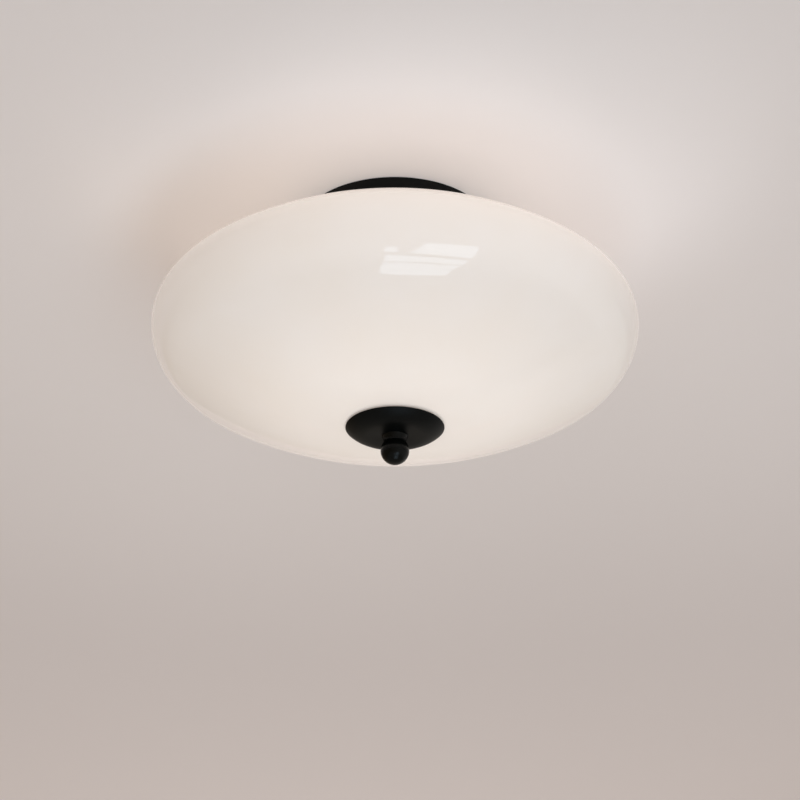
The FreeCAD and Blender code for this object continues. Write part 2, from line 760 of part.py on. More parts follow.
def finial():
    chamfer = finial_edge_chamfer
    collar_end = cap_base_drop + finial_collar_height
    waist_start = collar_end + finial_neck_fillet
    ball_centre = Vector(0, 0, -finial_ball_drop)
    points = [
        Vector(0, 0, -cap_base_drop),
        Vector(finial_collar_radius - chamfer, 0, -cap_base_drop),
        Vector(finial_collar_radius, 0, -cap_base_drop - chamfer),
        Vector(finial_collar_radius, 0, -collar_end),
    ]
    edges = [line(points[index], points[index + 1]) for index in range(len(points) - 1)]
    edges.append(arc_about(Vector(finial_collar_radius, 0, -waist_start), finial_neck_fillet,
                           math.pi / 2, math.pi))
    edges.append(line(Vector(finial_waist_radius, 0, -waist_start),
                      Vector(finial_waist_radius, 0, finial_ball_rise - finial_ball_drop)))
    edges.append(arc_about(ball_centre, finial_ball_radius, math.atan2(finial_ball_rise, finial_waist_radius),
                           -math.pi / 2))
    edges.append(line(ball_centre - Vector(0, 0, finial_ball_radius), points[0]))
    body = turned(edges)
    pocket = cylinder(insert_radius + running_clearance, cap_base_drop - overrun,
                      cap_base_drop + insert_length)
    blind = cylinder(lower_rod_radius + finial_blind_gap, cap_base_drop,
                     cap_base_drop + insert_length + finial_blind_length)
    return body.cut([pocket, blind])


def finial_insert():
    return ring(insert_radius, lower_rod_radius + running_clearance, cap_base_drop,
                cap_base_drop + insert_length)


# Terminal block

def pole_places():
    return [(index - (pole_count - 1) / 2) * pole_pitch for index in range(pole_count)]


def terminal_block():
    block = Part.makeBox(2 * block_half_width, block_depth, block_height,
                         Vector(-block_half_width, block_face_y, -canopy_floor_drop))
    cuts = []
    for x in pole_places():
        cuts.append(Part.makeCylinder(barrel_radius + running_clearance, block_depth + 2 * overrun,
                                      Vector(x, block_face_y - overrun, -barrel_axis_drop), Vector(0, 1, 0)))
        for side in (-1, 1):
            cuts.append(cylinder(terminal_screw_head_radius + hole_clearance, block_top_drop - overrun,
                                 barrel_axis_drop, x, block_offset + side * terminal_screw_offset))
    for side in (-1, 1):
        cuts.append(cylinder(stud_radius + hole_clearance, block_top_drop - overrun,
                             canopy_floor_drop + overrun, side * pole_pitch / 2, block_offset))
    return block.cut(cuts)


def terminal_barrels():
    barrels = []
    length = block_depth - 2 * barrel_end_gap
    start_y = block_face_y + barrel_end_gap
    for x in pole_places():
        start = Vector(x, start_y, -barrel_axis_drop)
        barrel = Part.makeCylinder(barrel_radius, length, start, Vector(0, 1, 0))
        cuts = [Part.makeCylinder(barrel_bore_radius, length + 2 * overrun, start - Vector(0, overrun, 0),
                                  Vector(0, 1, 0))]
        for side in (-1, 1):
            cuts.append(cylinder(terminal_screw_radius + running_clearance,
                                 barrel_axis_drop - 2 * barrel_radius, barrel_axis_drop, x,
                                 block_offset + side * terminal_screw_offset))
        barrels.append(barrel.cut(cuts))
    return group(barrels)


def terminal_screws():
    screws = []
    head_top = block_top_drop + terminal_screw_recess
    for x in pole_places():
        for side in (-1, 1):
            y = block_offset + side * terminal_screw_offset
            head = cylinder(terminal_screw_head_radius, head_top, head_top + terminal_screw_head_height, x, y)
            shank = cylinder(terminal_screw_radius, head_top,
                             barrel_axis_drop - lead_radius - running_clearance, x, y)
            slot = Part.makeBox(2 * terminal_screw_head_radius, driver_slot_width, 2 * driver_slot_depth)
            slot.translate(Vector(x - terminal_screw_head_radius, y - driver_slot_width / 2,
                                  -head_top - driver_slot_depth))
            screws.append(head.fuse(shank).cut(slot))
    return group(screws)


def block_nuts():
    nuts = []
    for side in (-1, 1):
        nuts.append(hex_nut(block_nut_half_flats, stud_radius + running_clearance,
                            block_top_drop - block_nut_height, block_top_drop, side * pole_pitch / 2,
                            block_offset))
    return group(nuts)


# Earth ring

def earth_ring():
    eye_top = canopy_floor_drop - ring_sheet
    eye = cylinder(ring_eye_radius, eye_top, canopy_floor_drop, earth_stud_x, earth_stud_y)
    neck = Part.makeBox(earth_stud_x - ring_crimp_end_x + ring_sheet, 2 * ring_neck_half_width, ring_sheet,
                        Vector(ring_crimp_end_x - ring_sheet, earth_stud_y - ring_neck_half_width,
                               -canopy_floor_drop))
    along = Vector(1, 0, 0)
    start = Vector(ring_crimp_end_x - ring_crimp_length, earth_stud_y, -ring_crimp_drop)
    crimp = Part.makeCylinder(ring_crimp_radius, ring_crimp_length, start, along)
    bore = Part.makeCylinder(lead_radius + running_clearance, ring_crimp_length,
                             start - along * ring_crimp_wall, along)
    hole = cylinder(earth_stud_radius + hole_clearance, eye_top - overrun, canopy_floor_drop + overrun,
                    earth_stud_x, earth_stud_y)
    return eye.fuse([neck, crimp]).cut([bore, hole]).removeSplitter()


def earth_nut():
    top = canopy_floor_drop - ring_sheet - earth_nut_height
    return hex_nut(earth_nut_half_flats, earth_stud_radius + running_clearance, top, top + earth_nut_height,
                   earth_stud_x, earth_stud_y)


# Leads

def lead(name, points):
    """Round lead along straight runs joined by tangent arcs, each as wide as its runs allow."""
    edges = []
    radii = []
    last = points[0]
    for index in range(1, len(points) - 1):
        before = points[index] - points[index - 1]
        after = points[index + 1] - points[index]
        turn = before.getAngle(after)
        reach = lead_arc_share * min(before.Length, after.Length)
        radius = reach / math.tan(turn / 2)
        radii.append(radius)
        before.normalize()
        after.normalize()
        start = points[index] - before * reach
        end = points[index] + after * reach
        inward = (after - before).normalize()
        to_centre = radius / math.cos(turn / 2)
        middle = points[index] + inward * (to_centre - radius)
        edges.append(line(last, start))
        edges.append(arc(start, middle, end))
        last = end
    edges.append(line(last, points[-1]))
    path = Part.Wire(edges)
    section = Part.Wire(Part.makeCircle(lead_radius, points[0], points[1] - points[0]))
    solid = path.makePipeShell([section], True, True)
    expected = math.pi * lead_radius ** 2 * path.Length
    print(name, "length", round(path.Length, 1), "radii", [round(radius, 1) for radius in radii],
          "volume share", round(solid.Volume / expected, 4))
    return solid


def supply_lead(name, pole_x, rod_side):
    """Lead from a pole of the terminal block, over the rod's end and down its bore to the hub."""
    rod_x = rod_side * lead_spacing / 2
    return lead(name, [
        Vector(pole_x, block_offset, -barrel_axis_drop),
        Vector(pole_x, block_face_y - lead_straight, -barrel_axis_drop),
        Vector(rod_x + rod_side * lead_over_spread, lead_over_reach, -lead_hump_drop),
        Vector(rod_x, 0, -lead_hump_drop),
        Vector(rod_x, 0, connector_rise - hub_axis_drop),
    ])


def earth_lead():
    crimp_start_x = ring_crimp_end_x - ring_crimp_length
    return lead("earth_lead", [
        Vector(pole_pitch, block_offset, -barrel_axis_drop),
        Vector(pole_pitch, block_face_y - lead_straight - lead_radius, -barrel_axis_drop),
        Vector((pole_pitch + crimp_start_x) / 2, earth_stud_y, -ring_crimp_drop),
        Vector(ring_crimp_end_x - 2 * ring_crimp_wall, earth_stud_y, -ring_crimp_drop),
    ])


nodes = {
    "ceiling_strap": ceiling_strap(),
    "canopy_pan": canopy_pan(),
    "side_screws": side_screws(),
    "upper_rod": upper_rod(),
    "rod_bush": rod_bush(),
    "canopy_nut": canopy_nut(),
    "canopy_lock_washer": canopy_lock_washer(),
    "spacer_sleeve": spacer_sleeve(),
    "lid_nut": lid_nut(),
    "hub_body": hub_body(),
    "hub_lid": hub_lid(),
    "lid_screws": lid_screws(),
    "hub_connector": hub_connector(),
    "lower_rod": lower_rod(),
    "hub_floor_nut": lower_nut(hub_floor_drop - lower_nut_height),
    "hub_lock_washer": hub_lock_washer(),
    "hub_lock_nut": lower_nut(hub_base_drop + lock_washer_thickness),
    "clamp_nut": lower_nut(clamp_nut_drop - lower_nut_height),
    "clamp_disc": clamp_disc(),
    "terminal_block": terminal_block(),
    "terminal_barrels": terminal_barrels(),
    "terminal_screws": terminal_screws(),
    "block_nuts": block_nuts(),
    "earth_ring": earth_ring(),
    "earth_nut": earth_nut(),
    "live_lead": supply_lead("live_lead", -pole_pitch, -1),
    "neutral_lead": supply_lead("neutral_lead", 0, 1),
    "earth_lead": earth_lead(),
    "glass_bowl": glass_bowl(),
    "upper_shade_washer": upper_shade_washer(),
    "lower_shade_washer": lower_shade_washer(),
    "spacer_ring": spacer_ring(),
    "bottom_cap": bottom_cap(),
    "finial": finial(),
    "finial_insert": finial_insert(),
}

lamps = range(lamp_count)
live_lead_to_lamp = lead_along_x(-1, connector_half_flats - hub_half_flats, holder_cavity)
neutral_lead_to_lamp = lead_along_x(1, connector_half_flats - hub_half_flats, holder_cavity)
nodes["nipple_nuts"] = group([at_lamp(nipple_nut(), index) for index in lamps])
nodes["lamp_live_leads"] = group([at_lamp(live_lead_to_lamp, index) for index in lamps])
nodes["lamp_neutral_leads"] = group([at_lamp(neutral_lead_to_lamp, index) for index in lamps])
for index in lamps:
    number = str(index + 1)
    nodes["holder_nipple_" + number] = at_lamp(holder_nipple(), index)
    nodes["lampholder_" + number] = at_lamp(lampholder(), index)
    nodes["screw_shell_" + number] = at_lamp(screw_shell(), index)
    nodes["centre_contact_" + number] = at_lamp(centre_contact(), index)
    nodes["lamp_cap_" + number] = at_lamp(lamp_cap(), index)
    nodes["lamp_globe_" + number] = at_lamp(lamp_globe(), index)

os.makedirs("parts", exist_ok=True)
for name, shape in nodes.items():
    if not shape.isValid():
        print("not valid:", name)
    shape.exportStep("parts/" + name + ".step")
print(len(nodes), "nodes")
print("cap rim drop", round(cap_rim_drop, 2), "cap base drop", round(cap_base_drop, 2))
print("glass seat drop", round(glass_seat_drop, 2), "rod end drop", round(lower_rod_end_drop, 2))
print("rim opening", round(rim_opening_radius, 2), "lamp reach", round(lamp_reach, 2))
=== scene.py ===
# Ceiling light: opal glass bowl, black canopy, cap and ball finial, three small lamps inside.
# Shapes are drawn in millimetres and brought to metres when a piece is finished. The ceiling is at
# height zero, so everything hangs at minus its drop.
import bpy
import bmesh
import math
from mathutils import Matrix, Vector


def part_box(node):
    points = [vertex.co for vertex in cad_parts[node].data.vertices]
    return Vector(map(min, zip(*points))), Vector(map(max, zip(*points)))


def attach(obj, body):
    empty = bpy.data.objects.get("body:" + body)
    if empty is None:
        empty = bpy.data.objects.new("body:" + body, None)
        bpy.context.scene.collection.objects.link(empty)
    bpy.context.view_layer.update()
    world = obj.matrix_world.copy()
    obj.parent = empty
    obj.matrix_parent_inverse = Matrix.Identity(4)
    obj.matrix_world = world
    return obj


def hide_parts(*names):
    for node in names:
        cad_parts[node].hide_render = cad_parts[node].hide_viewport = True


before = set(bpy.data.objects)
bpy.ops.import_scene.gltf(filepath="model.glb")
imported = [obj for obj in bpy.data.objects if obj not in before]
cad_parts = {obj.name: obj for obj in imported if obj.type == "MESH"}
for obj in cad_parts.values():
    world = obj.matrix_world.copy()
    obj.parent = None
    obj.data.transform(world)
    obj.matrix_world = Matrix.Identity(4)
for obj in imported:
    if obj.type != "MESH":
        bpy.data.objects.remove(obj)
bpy.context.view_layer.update()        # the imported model, as the fixed frame
lampNumbers = (1, 2, 3)
mm = 0.001

build = {
    "turnSteps": 48,       # faces round a small turned piece
    "roundSteps": 3,       # faces across a rounded edge
    "weld": 0.0005,        # mm, points nearer than this are one
    "crease": 32.0,        # degrees, sharper edges stay crisp
    "over": 1.0,           # mm that a cutting shape reaches past what it cuts
    "flanks": (0.12, 0.46, 0.58, 0.92),     # shares of the pitch where a thread's flanks start and end
}


def newObject(name, data):
    thing = bpy.data.objects.new(name, data)
    bpy.context.scene.collection.objects.link(thing)
    return thing


def meshObject(name, mesh):
    # hands a shape over to a new object
    data = bpy.data.meshes.new(name)
    mesh.to_mesh(data)
    mesh.free()
    return newObject(name, data)


# Camera, matched to the photograph

camera = {
    "lens": 90.0,          # mm
    "sensor": 36.0,        # mm
    "frameWidth": 800,     # px
    "ringAcross": 394.4,   # px, where the middle of the bowl's widest ring lands
    "ringDown": 334.4,     # px
    "ringDrop": 0.098,     # m
    "elevation": 27.78,    # degrees, up to the middle of that ring
    "distance": 1.570,     # m
}


def setCamera():
    focal = camera["lens"] / camera["sensor"] * camera["frameWidth"]
    rise = math.radians(camera["elevation"])
    ring = Vector((0, 0, -camera["ringDrop"]))
    aside = math.atan((camera["ringAcross"] - camera["frameWidth"] / 2) / focal)
    pitch = rise + math.atan((camera["ringDown"] - camera["frameWidth"] / 2) / focal)
    forward = Vector((-math.sin(aside) * math.cos(pitch), math.cos(aside) * math.cos(pitch),
                      math.sin(pitch)))
    data = bpy.data.cameras.new("camera")
    data.lens = camera["lens"]
    data.sensor_width = camera["sensor"]
    thing = newObject("camera", data)
    thing.location = ring - camera["distance"] * Vector((0, math.cos(rise), math.sin(rise)))
    thing.rotation_mode = "QUATERNION"
    thing.rotation_quaternion = forward.to_track_quat("-Z", "Y")
    bpy.context.scene.camera = thing


setCamera()
print("camera set")


# Materials

def linear(code):
    # sRGB hex, as a colour picker gives it, to the linear values that shaders take
    shares = [int(code[place:place + 2], 16) / 255 for place in (1, 3, 5)]
    return [share / 12.92 if share <= 0.04045 else ((share + 0.055) / 1.055) ** 2.4
            for share in shares] + [1]


def perMetre(size):
    # texture scale for a pattern that repeats every so many millimetres
    return 1 / (size * mm)


def socketOf(sockets, name):
    # by number, or by name among those in use: Mix hides a set of sockets for each kind of value
    if isinstance(name, int):
        return sockets[name]
    return next(socket for socket in sockets if socket.name == name and socket.enabled)


def addNode(tree, kind, sockets=None, links=None, **settings):
    node = tree.nodes.new("ShaderNode" + kind)
    for name, value in settings.items():
        setattr(node, name, value)
    for name, value in (sockets or {}).items():
        socketOf(node.inputs, name).default_value = value
    for name, (source, output) in (links or {}).items():
        tree.links.new(socketOf(source.outputs, output), socketOf(node.inputs, name))
    return node


def newMaterial(name):
    material = bpy.data.materials.new(name)
    material.use_nodes = True
    material.node_tree.nodes.clear()
    return material, material.node_tree


def shown(material, shader, output="BSDF"):
    # puts a shader on a material's surface
    addNode(material.node_tree, "OutputMaterial", links={"Surface": (shader, output)})
    return material


def patterned(name, dark, light, broad, fine, depth, smooth, rough, shader,
              details=(2.0, 1.0), drawn=(1, 1, 1), marked=False):
    # Two close tones over a broad pattern, and a relief from a fine one that can be drawn out one way,
    # all in millimetres. The gloss varies with the broad pattern, or with the fine one where it is marks.
    material, tree = newMaterial(name)
    place = addNode(tree, "TexCoord")
    cloud = addNode(tree, "TexNoise", {"Scale": perMetre(broad), "Detail": details[0]},
                    {"Vector": (place, "Object")})
    stretch = addNode(tree, "Mapping", {"Scale": drawn}, {"Vector": (place, "Object")})
    marks = addNode(tree, "TexNoise", {"Scale": perMetre(fine), "Detail": details[1]},
                    {"Vector": (stretch, "Vector")})
    tone = addNode(tree, "Mix", {"A": linear(dark), "B": linear(light)}, {"Factor": (cloud, "Fac")},
                   data_type="RGBA")
    sheen = addNode(tree, "MapRange", {"To Min": smooth, "To Max": rough},
                    {"Value": (marks if marked else cloud, "Fac")})
    bump = addNode(tree, "Bump", {"Distance": depth * mm}, {"Height": (marks, "Fac")})
    return shown(material, addNode(tree, "BsdfPrincipled", shader, {
        "Base Color": (tone, "Result"), "Roughness": (sheen, "Result"), "Normal": (bump, "Normal")}))


def awayFromAxis(tree, place, near, far):
    # 0 as far as one distance from the upright axis and 1 beyond another, in millimetres
    flat = addNode(tree, "VectorMath", {1: (1, 1, 0)}, {0: (place, "Object")}, operation="MULTIPLY")
    reach = addNode(tree, "VectorMath", links={0: (flat, "Vector")}, operation="LENGTH")
    return addNode(tree, "MapRange", {"From Min": near * mm, "From Max": far * mm},
                   {"Value": (reach, "Value")}, interpolation_type="SMOOTHSTEP")


def opalGlass():
    # Blown opal glass under a clear skin, fire polished: a sharp gloss that is very slightly wavy over a
    # milky white. The lamps' light through it is a painted glow, warmest and brightest near the bowl's low
    # middle and dimmer towards the rim. The inner face is a little greyer, with its own painted glow, so
    # the light that it throws from side to side there doesn't turn it peach.
    opal = {"warm": "#EFE3D8", "cool": "#F3EAE4", "cloud": 70.0, "wave": 55.0, "waveDepth": 0.03,
            "gloss": 0.0, "glowMiddle": "#8A827B", "glowEdge": "#635B54", "glowFrom": 60.0, "glowTo": 188.0,
            "inner": "#E3DEDA", "glowInner": "#847F7A", "middle": (0, 0, -0.098)}
    material, tree = newMaterial("blownOpalGlass")
    place = addNode(tree, "TexCoord")
    cloud = addNode(tree, "TexNoise", {"Scale": perMetre(opal["cloud"]), "Detail": 2.0},
                    {"Vector": (place, "Object")})
    tone = addNode(tree, "Mix", {"A": linear(opal["warm"]), "B": linear(opal["cool"])},
                   {"Factor": (cloud, "Fac")}, data_type="RGBA")
    # painted glow: emission that stands in for the lamps' light through the glass, fading from the middle
    # towards the rim
    share = awayFromAxis(tree, place, opal["glowFrom"], opal["glowTo"])
    glow = addNode(tree, "Mix", {"A": linear(opal["glowMiddle"]), "B": linear(opal["glowEdge"])},
                   {"Factor": (share, "Result")}, data_type="RGBA")
    side = addNode(tree, "NewGeometry")
    outward = addNode(tree, "VectorMath", {1: opal["middle"]}, {0: (place, "Object")}, operation="SUBTRACT")
    facing = addNode(tree, "VectorMath", links={0: (outward, "Vector"), 1: (side, "Normal")},
                     operation="DOT_PRODUCT")
    inside = addNode(tree, "Math", {1: 0.0}, {0: (facing, "Value")}, operation="LESS_THAN")
    tone, glow = [addNode(tree, "Mix", {"B": linear(opal[inner])},
                          {"Factor": (inside, "Value"), "A": (outer, "Result")}, data_type="RGBA")
                  for outer, inner in ((tone, "inner"), (glow, "glowInner"))]
    wave = addNode(tree, "TexNoise", {"Scale": perMetre(opal["wave"]), "Detail": 0.0},
                   {"Vector": (place, "Object")})
    bump = addNode(tree, "Bump", {"Distance": opal["waveDepth"] * mm}, {"Height": (wave, "Fac")})
    return shown(material, addNode(
        tree, "BsdfPrincipled", {"Roughness": opal["gloss"], "IOR": 1.52, "Emission Strength": 1.0},
        {"Base Color": (tone, "Result"), "Emission Color": (glow, "Result"), "Normal": (bump, "Normal")}))


def lampOpalGlass():
    # Lamp globe, opal glass with a silk etch: lit from within, whitest over the filament's middle and
    # a little deeper in colour at the neck.
    silk = {"body": "#F4EEE4", "shade": "#E6DACA", "glow": "#ADA294", "glowNeck": "#645A4C", "from": 44.0,
            "to": 96.0, "fleck": 6.0, "smooth": 0.22, "rough": 0.30}
    material, tree = newMaterial("silkOpalLampGlass")
    place = addNode(tree, "TexCoord")
    fleck = addNode(tree, "TexNoise", {"Scale": perMetre(silk["fleck"]), "Detail": 4.0},
                    {"Vector": (place, "Object")})
    tone = addNode(tree, "Mix", {"A": linear(silk["body"]), "B": linear(silk["shade"])},
                   {"Factor": (fleck, "Fac")}, data_type="RGBA")
    share = awayFromAxis(tree, place, silk["from"], silk["to"])
    glow = addNode(tree, "Mix", {"A": linear(silk["glowNeck"]), "B": linear(silk["glow"])},
                   {"Factor": (share, "Result")}, data_type="RGBA")
    sheen = addNode(tree, "MapRange", {"To Min": silk["smooth"], "To Max": silk["rough"]},
                    {"Value": (fleck, "Fac")})
    return shown(material, addNode(
        tree, "BsdfPrincipled", {"IOR": 1.5, "Emission Strength": 1.0},
        {"Base Color": (tone, "Result"), "Roughness": (sheen, "Result"),
         "Emission Color": (glow, "Result")}))


def earthInsulation():
    # Two-colour earth insulation, extruded: green with two yellow bands that run along the lead.
    cover = {"green": "#3F7A1F", "yellow": "#DDBE22", "bands": 2.0, "share": 0.5, "smooth": 0.34}
    material, tree = newMaterial("stripedEarthInsulation")
    place = addNode(tree, "TexCoord")
    parts = addNode(tree, "SeparateXYZ", links={"Vector": (place, "UV")})
    turn = addNode(tree, "Math", {1: cover["bands"]}, {0: (parts, "Y")}, operation="MULTIPLY")
    saw = addNode(tree, "Math", links={0: (turn, "Value")}, operation="FRACT")
    band = addNode(tree, "Math", {1: cover["share"]}, {0: (saw, "Value")}, operation="GREATER_THAN")
    tone = addNode(tree, "Mix", {"A": linear(cover["green"]), "B": linear(cover["yellow"])},
                   {"Factor": (band, "Value")}, data_type="RGBA")
    return shown(material, addNode(tree, "BsdfPrincipled", {"Roughness": cover["smooth"], "IOR": 1.52},
                                   {"Base Color": (tone, "Result")}))


def milky(ior, weight, soak):
    # shader settings of a plastic that light soaks into for so many millimetres
    return {"IOR": ior, "Subsurface Weight": weight, "Subsurface Radius": (1, 1, 1),
            "Subsurface Scale": soak * mm}


metal = {"shader": {"Metallic": 1.0}, "details": (2.0, 3.0), "marked": True}
insulation = (6.0, 1.0, 0.004, 0.30, 0.38, {"IOR": 1.52})
# Each slot's material, and the two that share a slot with another: name, dark, light, broad and fine
# pattern and relief in millimetres, smoothest, roughest, shader settings.
finish = {
    # polyester powder, sprayed dry and baked on the pressed canopy and cap: a soft satin with a fine
    # orange peel, which blurs what it mirrors
    "black_coat": patterned("satinPowderCoat", "#050605", "#090A09", 14.0, 1.1, 0.010, 0.38, 0.46,
                            {"Specular IOR Level": 0.10}, details=(3.0, 1.0)),
    # stoving lacquer on the turned finial: finer and smoother, with one small clear highlight
    "lacquer": patterned("blackStovingLacquer", "#040504", "#070807", 9.0, 0.9, 0.004, 0.19, 0.24,
                         {"Specular IOR Level": 0.14}, details=(3.0, 1.0)),
    "opal_glass": opalGlass(),
    "lamp_glass": lampOpalGlass(),
    # bright zinc plate on pressed and turned steel: cool grey, with rolling marks along X
    "zinc_steel": patterned("brightZincPlate", "#A9ABAC", "#C3C5C7", 16.0, 0.9, 0.004, 0.24, 0.42,
                            drawn=(0.12, 1, 1), **metal),
    # nickel plate on a rolled aluminium cap: bright and slightly warm, marks round the shell are too fine
    "lamp_cap_metal": patterned("nickelPlatedCap", "#B9B5AC", "#D2CEC5", 9.0, 1.2, 0.002, 0.16, 0.27,
                                **metal),
    # free-cutting brass as turned, lightly tarnished
    "brass": patterned("turnedBrass", "#A8823F", "#CFA85A", 7.0, 0.6, 0.003, 0.20, 0.36,
                       drawn=(1, 1, 0.15), **metal),
    # urea thermoset, compression moulded: hard, off-white, slightly glossy
    "holder_plastic": patterned("mouldedWhiteThermoset", "#DCD7CB", "#E9E5DB", 18.0, 0.8, 0.006, 0.30, 0.40,
                                {"IOR": 1.55}),
    # natural nylon, injection moulded: waxy and faintly see-through at thin edges
    "block_plastic": patterned("naturalNylon", "#DAD6C6", "#E8E5D8", 11.0, 0.7, 0.006, 0.36, 0.48,
                               milky(1.53, 0.25, 1.2)),
    # clear silicone rubber gone milky, pressed in a mould: soft sheen, light soaks in
    "silicone": patterned("milkySilicone", "#C9C6BC", "#DAD8D0", 8.0, 0.9, 0.010, 0.38, 0.50,
                          milky(1.41, 0.45, 2.5)),
    # brown and blue single-core insulation, extruded: smooth and even
    "brown_lead": patterned("brownInsulation", "#52290F", "#633317", *insulation),
    "blue_lead": patterned("blueInsulation", "#1F5490", "#2A65A6", *insulation),
    "earth_lead_cover": earthInsulation(),
    # black glass insulator moulded into the lamp cap: glossy
    "vitrite": patterned("blackGlassInsulator", "#0B0B0C", "#131314", 5.0, 1.0, 0.004, 0.10, 0.16,
                         {"IOR": 1.55}),
}
print("materials made:", len(finish))


# Shape helpers

def levels(node):
    # lowest and highest level of a CAD piece, in millimetres
    low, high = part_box(node)
    return low.z / mm, high.z / mm


def at(x, y, z):
    return Matrix.Translation((x, y, z))


def along(direction, place):
    # turns a shape made up the Z axis to lie along a direction from a place
    return at(*place) @ Vector(direction).to_track_quat("Z", "Y").to_matrix().to_4x4()


def tidied(mesh):
    # joins the points that meet and turns each face outwards
    bmesh.ops.remove_doubles(mesh, verts=mesh.verts, dist=build["weld"])
    bmesh.ops.recalc_face_normals(mesh, faces=mesh.faces)
    return mesh


def rounded(mesh, geom, offset, affect="VERTICES", segments=None):
    bmesh.ops.bevel(mesh, geom=geom, offset=offset, affect=affect, segments=segments or build["roundSteps"],
                    profile=0.5, material=-1)


def turned(outline, steps=None, closed=True, rounds=None):
    # Spins an outline of (radius, height) or (radius, height, rounding) points and
    # ("arc", centre radius, centre height, degrees, faces) stretches about the upright axis.
    mesh = bmesh.new()
    first = last = None
    corners = []
    for step in outline:
        if step[0] == "arc":
            centreRadius, centreHeight, degrees, faces = step[1:]
            swept = bmesh.ops.spin(mesh, geom=[last], cent=(centreRadius, 0, centreHeight), axis=(0, -1, 0),
                                   dvec=(0, 0, 0), angle=math.radians(degrees), steps=faces)
            last = swept["geom_last"][0]
            continue
        vertex = mesh.verts.new((step[0], 0, step[1]))
        if last:
            mesh.edges.new((last, vertex))
        if len(step) == 3:
            corners.append((vertex, step[2]))
        first = first or vertex
        last = vertex
    if closed:
        mesh.edges.new((last, first))
    for vertex, rounding in corners:
        rounded(mesh, [vertex], rounding, segments=rounds)
    bmesh.ops.remove_doubles(mesh, verts=mesh.verts, dist=build["weld"])
    bmesh.ops.spin(mesh, geom=mesh.verts[:] + mesh.edges[:], cent=(0, 0, 0), axis=(0, 0, 1), dvec=(0, 0, 0),
                   angle=math.tau, steps=steps or build["turnSteps"], use_merge=True)
    return tidied(mesh)


def addTo(mesh, part, places=(Matrix.Identity(4),), material=0):
    # joins a finished shape to another, once or at several places
    for place in places:
        copy = part.copy()
        for face in copy.faces:
            face.material_index = material
        bmesh.ops.transform(copy, matrix=place, verts=copy.verts)
        data = bpy.data.meshes.new("part")
        copy.to_mesh(data)
        copy.free()
        mesh.from_mesh(data)
        bpy.data.meshes.remove(data)
    part.free()
    return mesh


def carved(mesh, tool, operation="DIFFERENCE"):
    # cuts one closed shape with another
    holders = [meshObject("carving", shape) for shape in (mesh, tool)]
    modifier = holders[0].modifiers.new("carve", "BOOLEAN")
    modifier.operation = operation
    modifier.solver = "EXACT"
    modifier.object = holders[1]
    result = bmesh.new()
    result.from_object(holders[0], bpy.context.evaluated_depsgraph_get())
    for holder in holders:
        bpy.data.meshes.remove(holder.data)
    bmesh.ops.remove_doubles(result, verts=result.verts, dist=build["weld"])
    bmesh.ops.dissolve_degenerate(result, edges=result.edges, dist=build["weld"])
    return result


def bar(low, high):
    # upright block between two corners
    mesh = bmesh.new()
    bmesh.ops.create_cube(mesh, size=1)
    bmesh.ops.scale(mesh, vec=Vector(high) - Vector(low), verts=mesh.verts)
    bmesh.ops.translate(mesh, vec=(Vector(low) + Vector(high)) / 2, verts=mesh.verts)
    return mesh


def drill(radius, length, place, direction=(0, 0, 1), steps=32):
    # round bar from a place along a direction, to cut with or to join on
    mesh = bmesh.new()
    bmesh.ops.create_cone(mesh, cap_ends=True, segments=steps, radius1=radius, radius2=radius, depth=length,
                          matrix=along(direction, place) @ at(0, 0, length / 2))
    return mesh


def bored(mesh, radius, thickness, place, direction=(0, 0, 1), steps=32):
    # drills right through a wall that starts at a place and is so thick along a direction
    start = Vector(place) - build["over"] * Vector(direction)
    return carved(mesh, drill(radius, thickness + 2 * build["over"], start, direction, steps))


def drawnOut(mesh, vec):
    # makes a flat outline into a solid
    grown = bmesh.ops.extrude_face_region(mesh, geom=mesh.faces[:])
    moved = [item for item in grown["geom"] if isinstance(item, bmesh.types.BMVert)]
    bmesh.ops.translate(mesh, vec=vec, verts=moved)
    bmesh.ops.recalc_face_normals(mesh, faces=mesh.faces)
    return mesh


def circle(mesh, steps, radius, height=0):
    # the edges of a new ring
    ring = bmesh.ops.create_circle(mesh, segments=steps, radius=radius, matrix=at(0, 0, height))
    return list(dict.fromkeys(edge for vertex in ring["verts"] for edge in vertex.link_edges))


def helix(thread, rises):
    # Winds one pitch of an outline, given as (radius, share of the pitch), into a turn of a helix, stacks
    # as many turns as the length needs and cuts them square at both ends.
    turn = bmesh.new()
    pitch = thread["pitch"]
    wave = [turn.verts.new((radius, 0, share * pitch)) for radius, share in rises]
    edges = [turn.edges.new(pair) for pair in zip(wave, wave[1:])]
    bmesh.ops.spin(turn, geom=wave + edges, cent=(0, 0, 0), axis=(0, 0, 1), angle=math.tau,
                   dvec=(0, 0, pitch / thread["steps"]), steps=thread["steps"])
    turns = math.ceil((thread["top"] - thread["bottom"]) / pitch) + 2
    mesh = addTo(bmesh.new(), turn, [at(0, 0, thread["bottom"] + (number - 1) * pitch)
                                     for number in range(turns)])
    bmesh.ops.remove_doubles(mesh, verts=mesh.verts, dist=build["weld"])
    for height, outwards in ((thread["bottom"], -1), (thread["top"], 1)):
        bmesh.ops.bisect_plane(mesh, geom=mesh.verts[:] + mesh.edges[:] + mesh.faces[:], dist=build["weld"],
                               plane_co=(0, 0, height), plane_no=(0, 0, outwards), clear_outer=True)
    return mesh


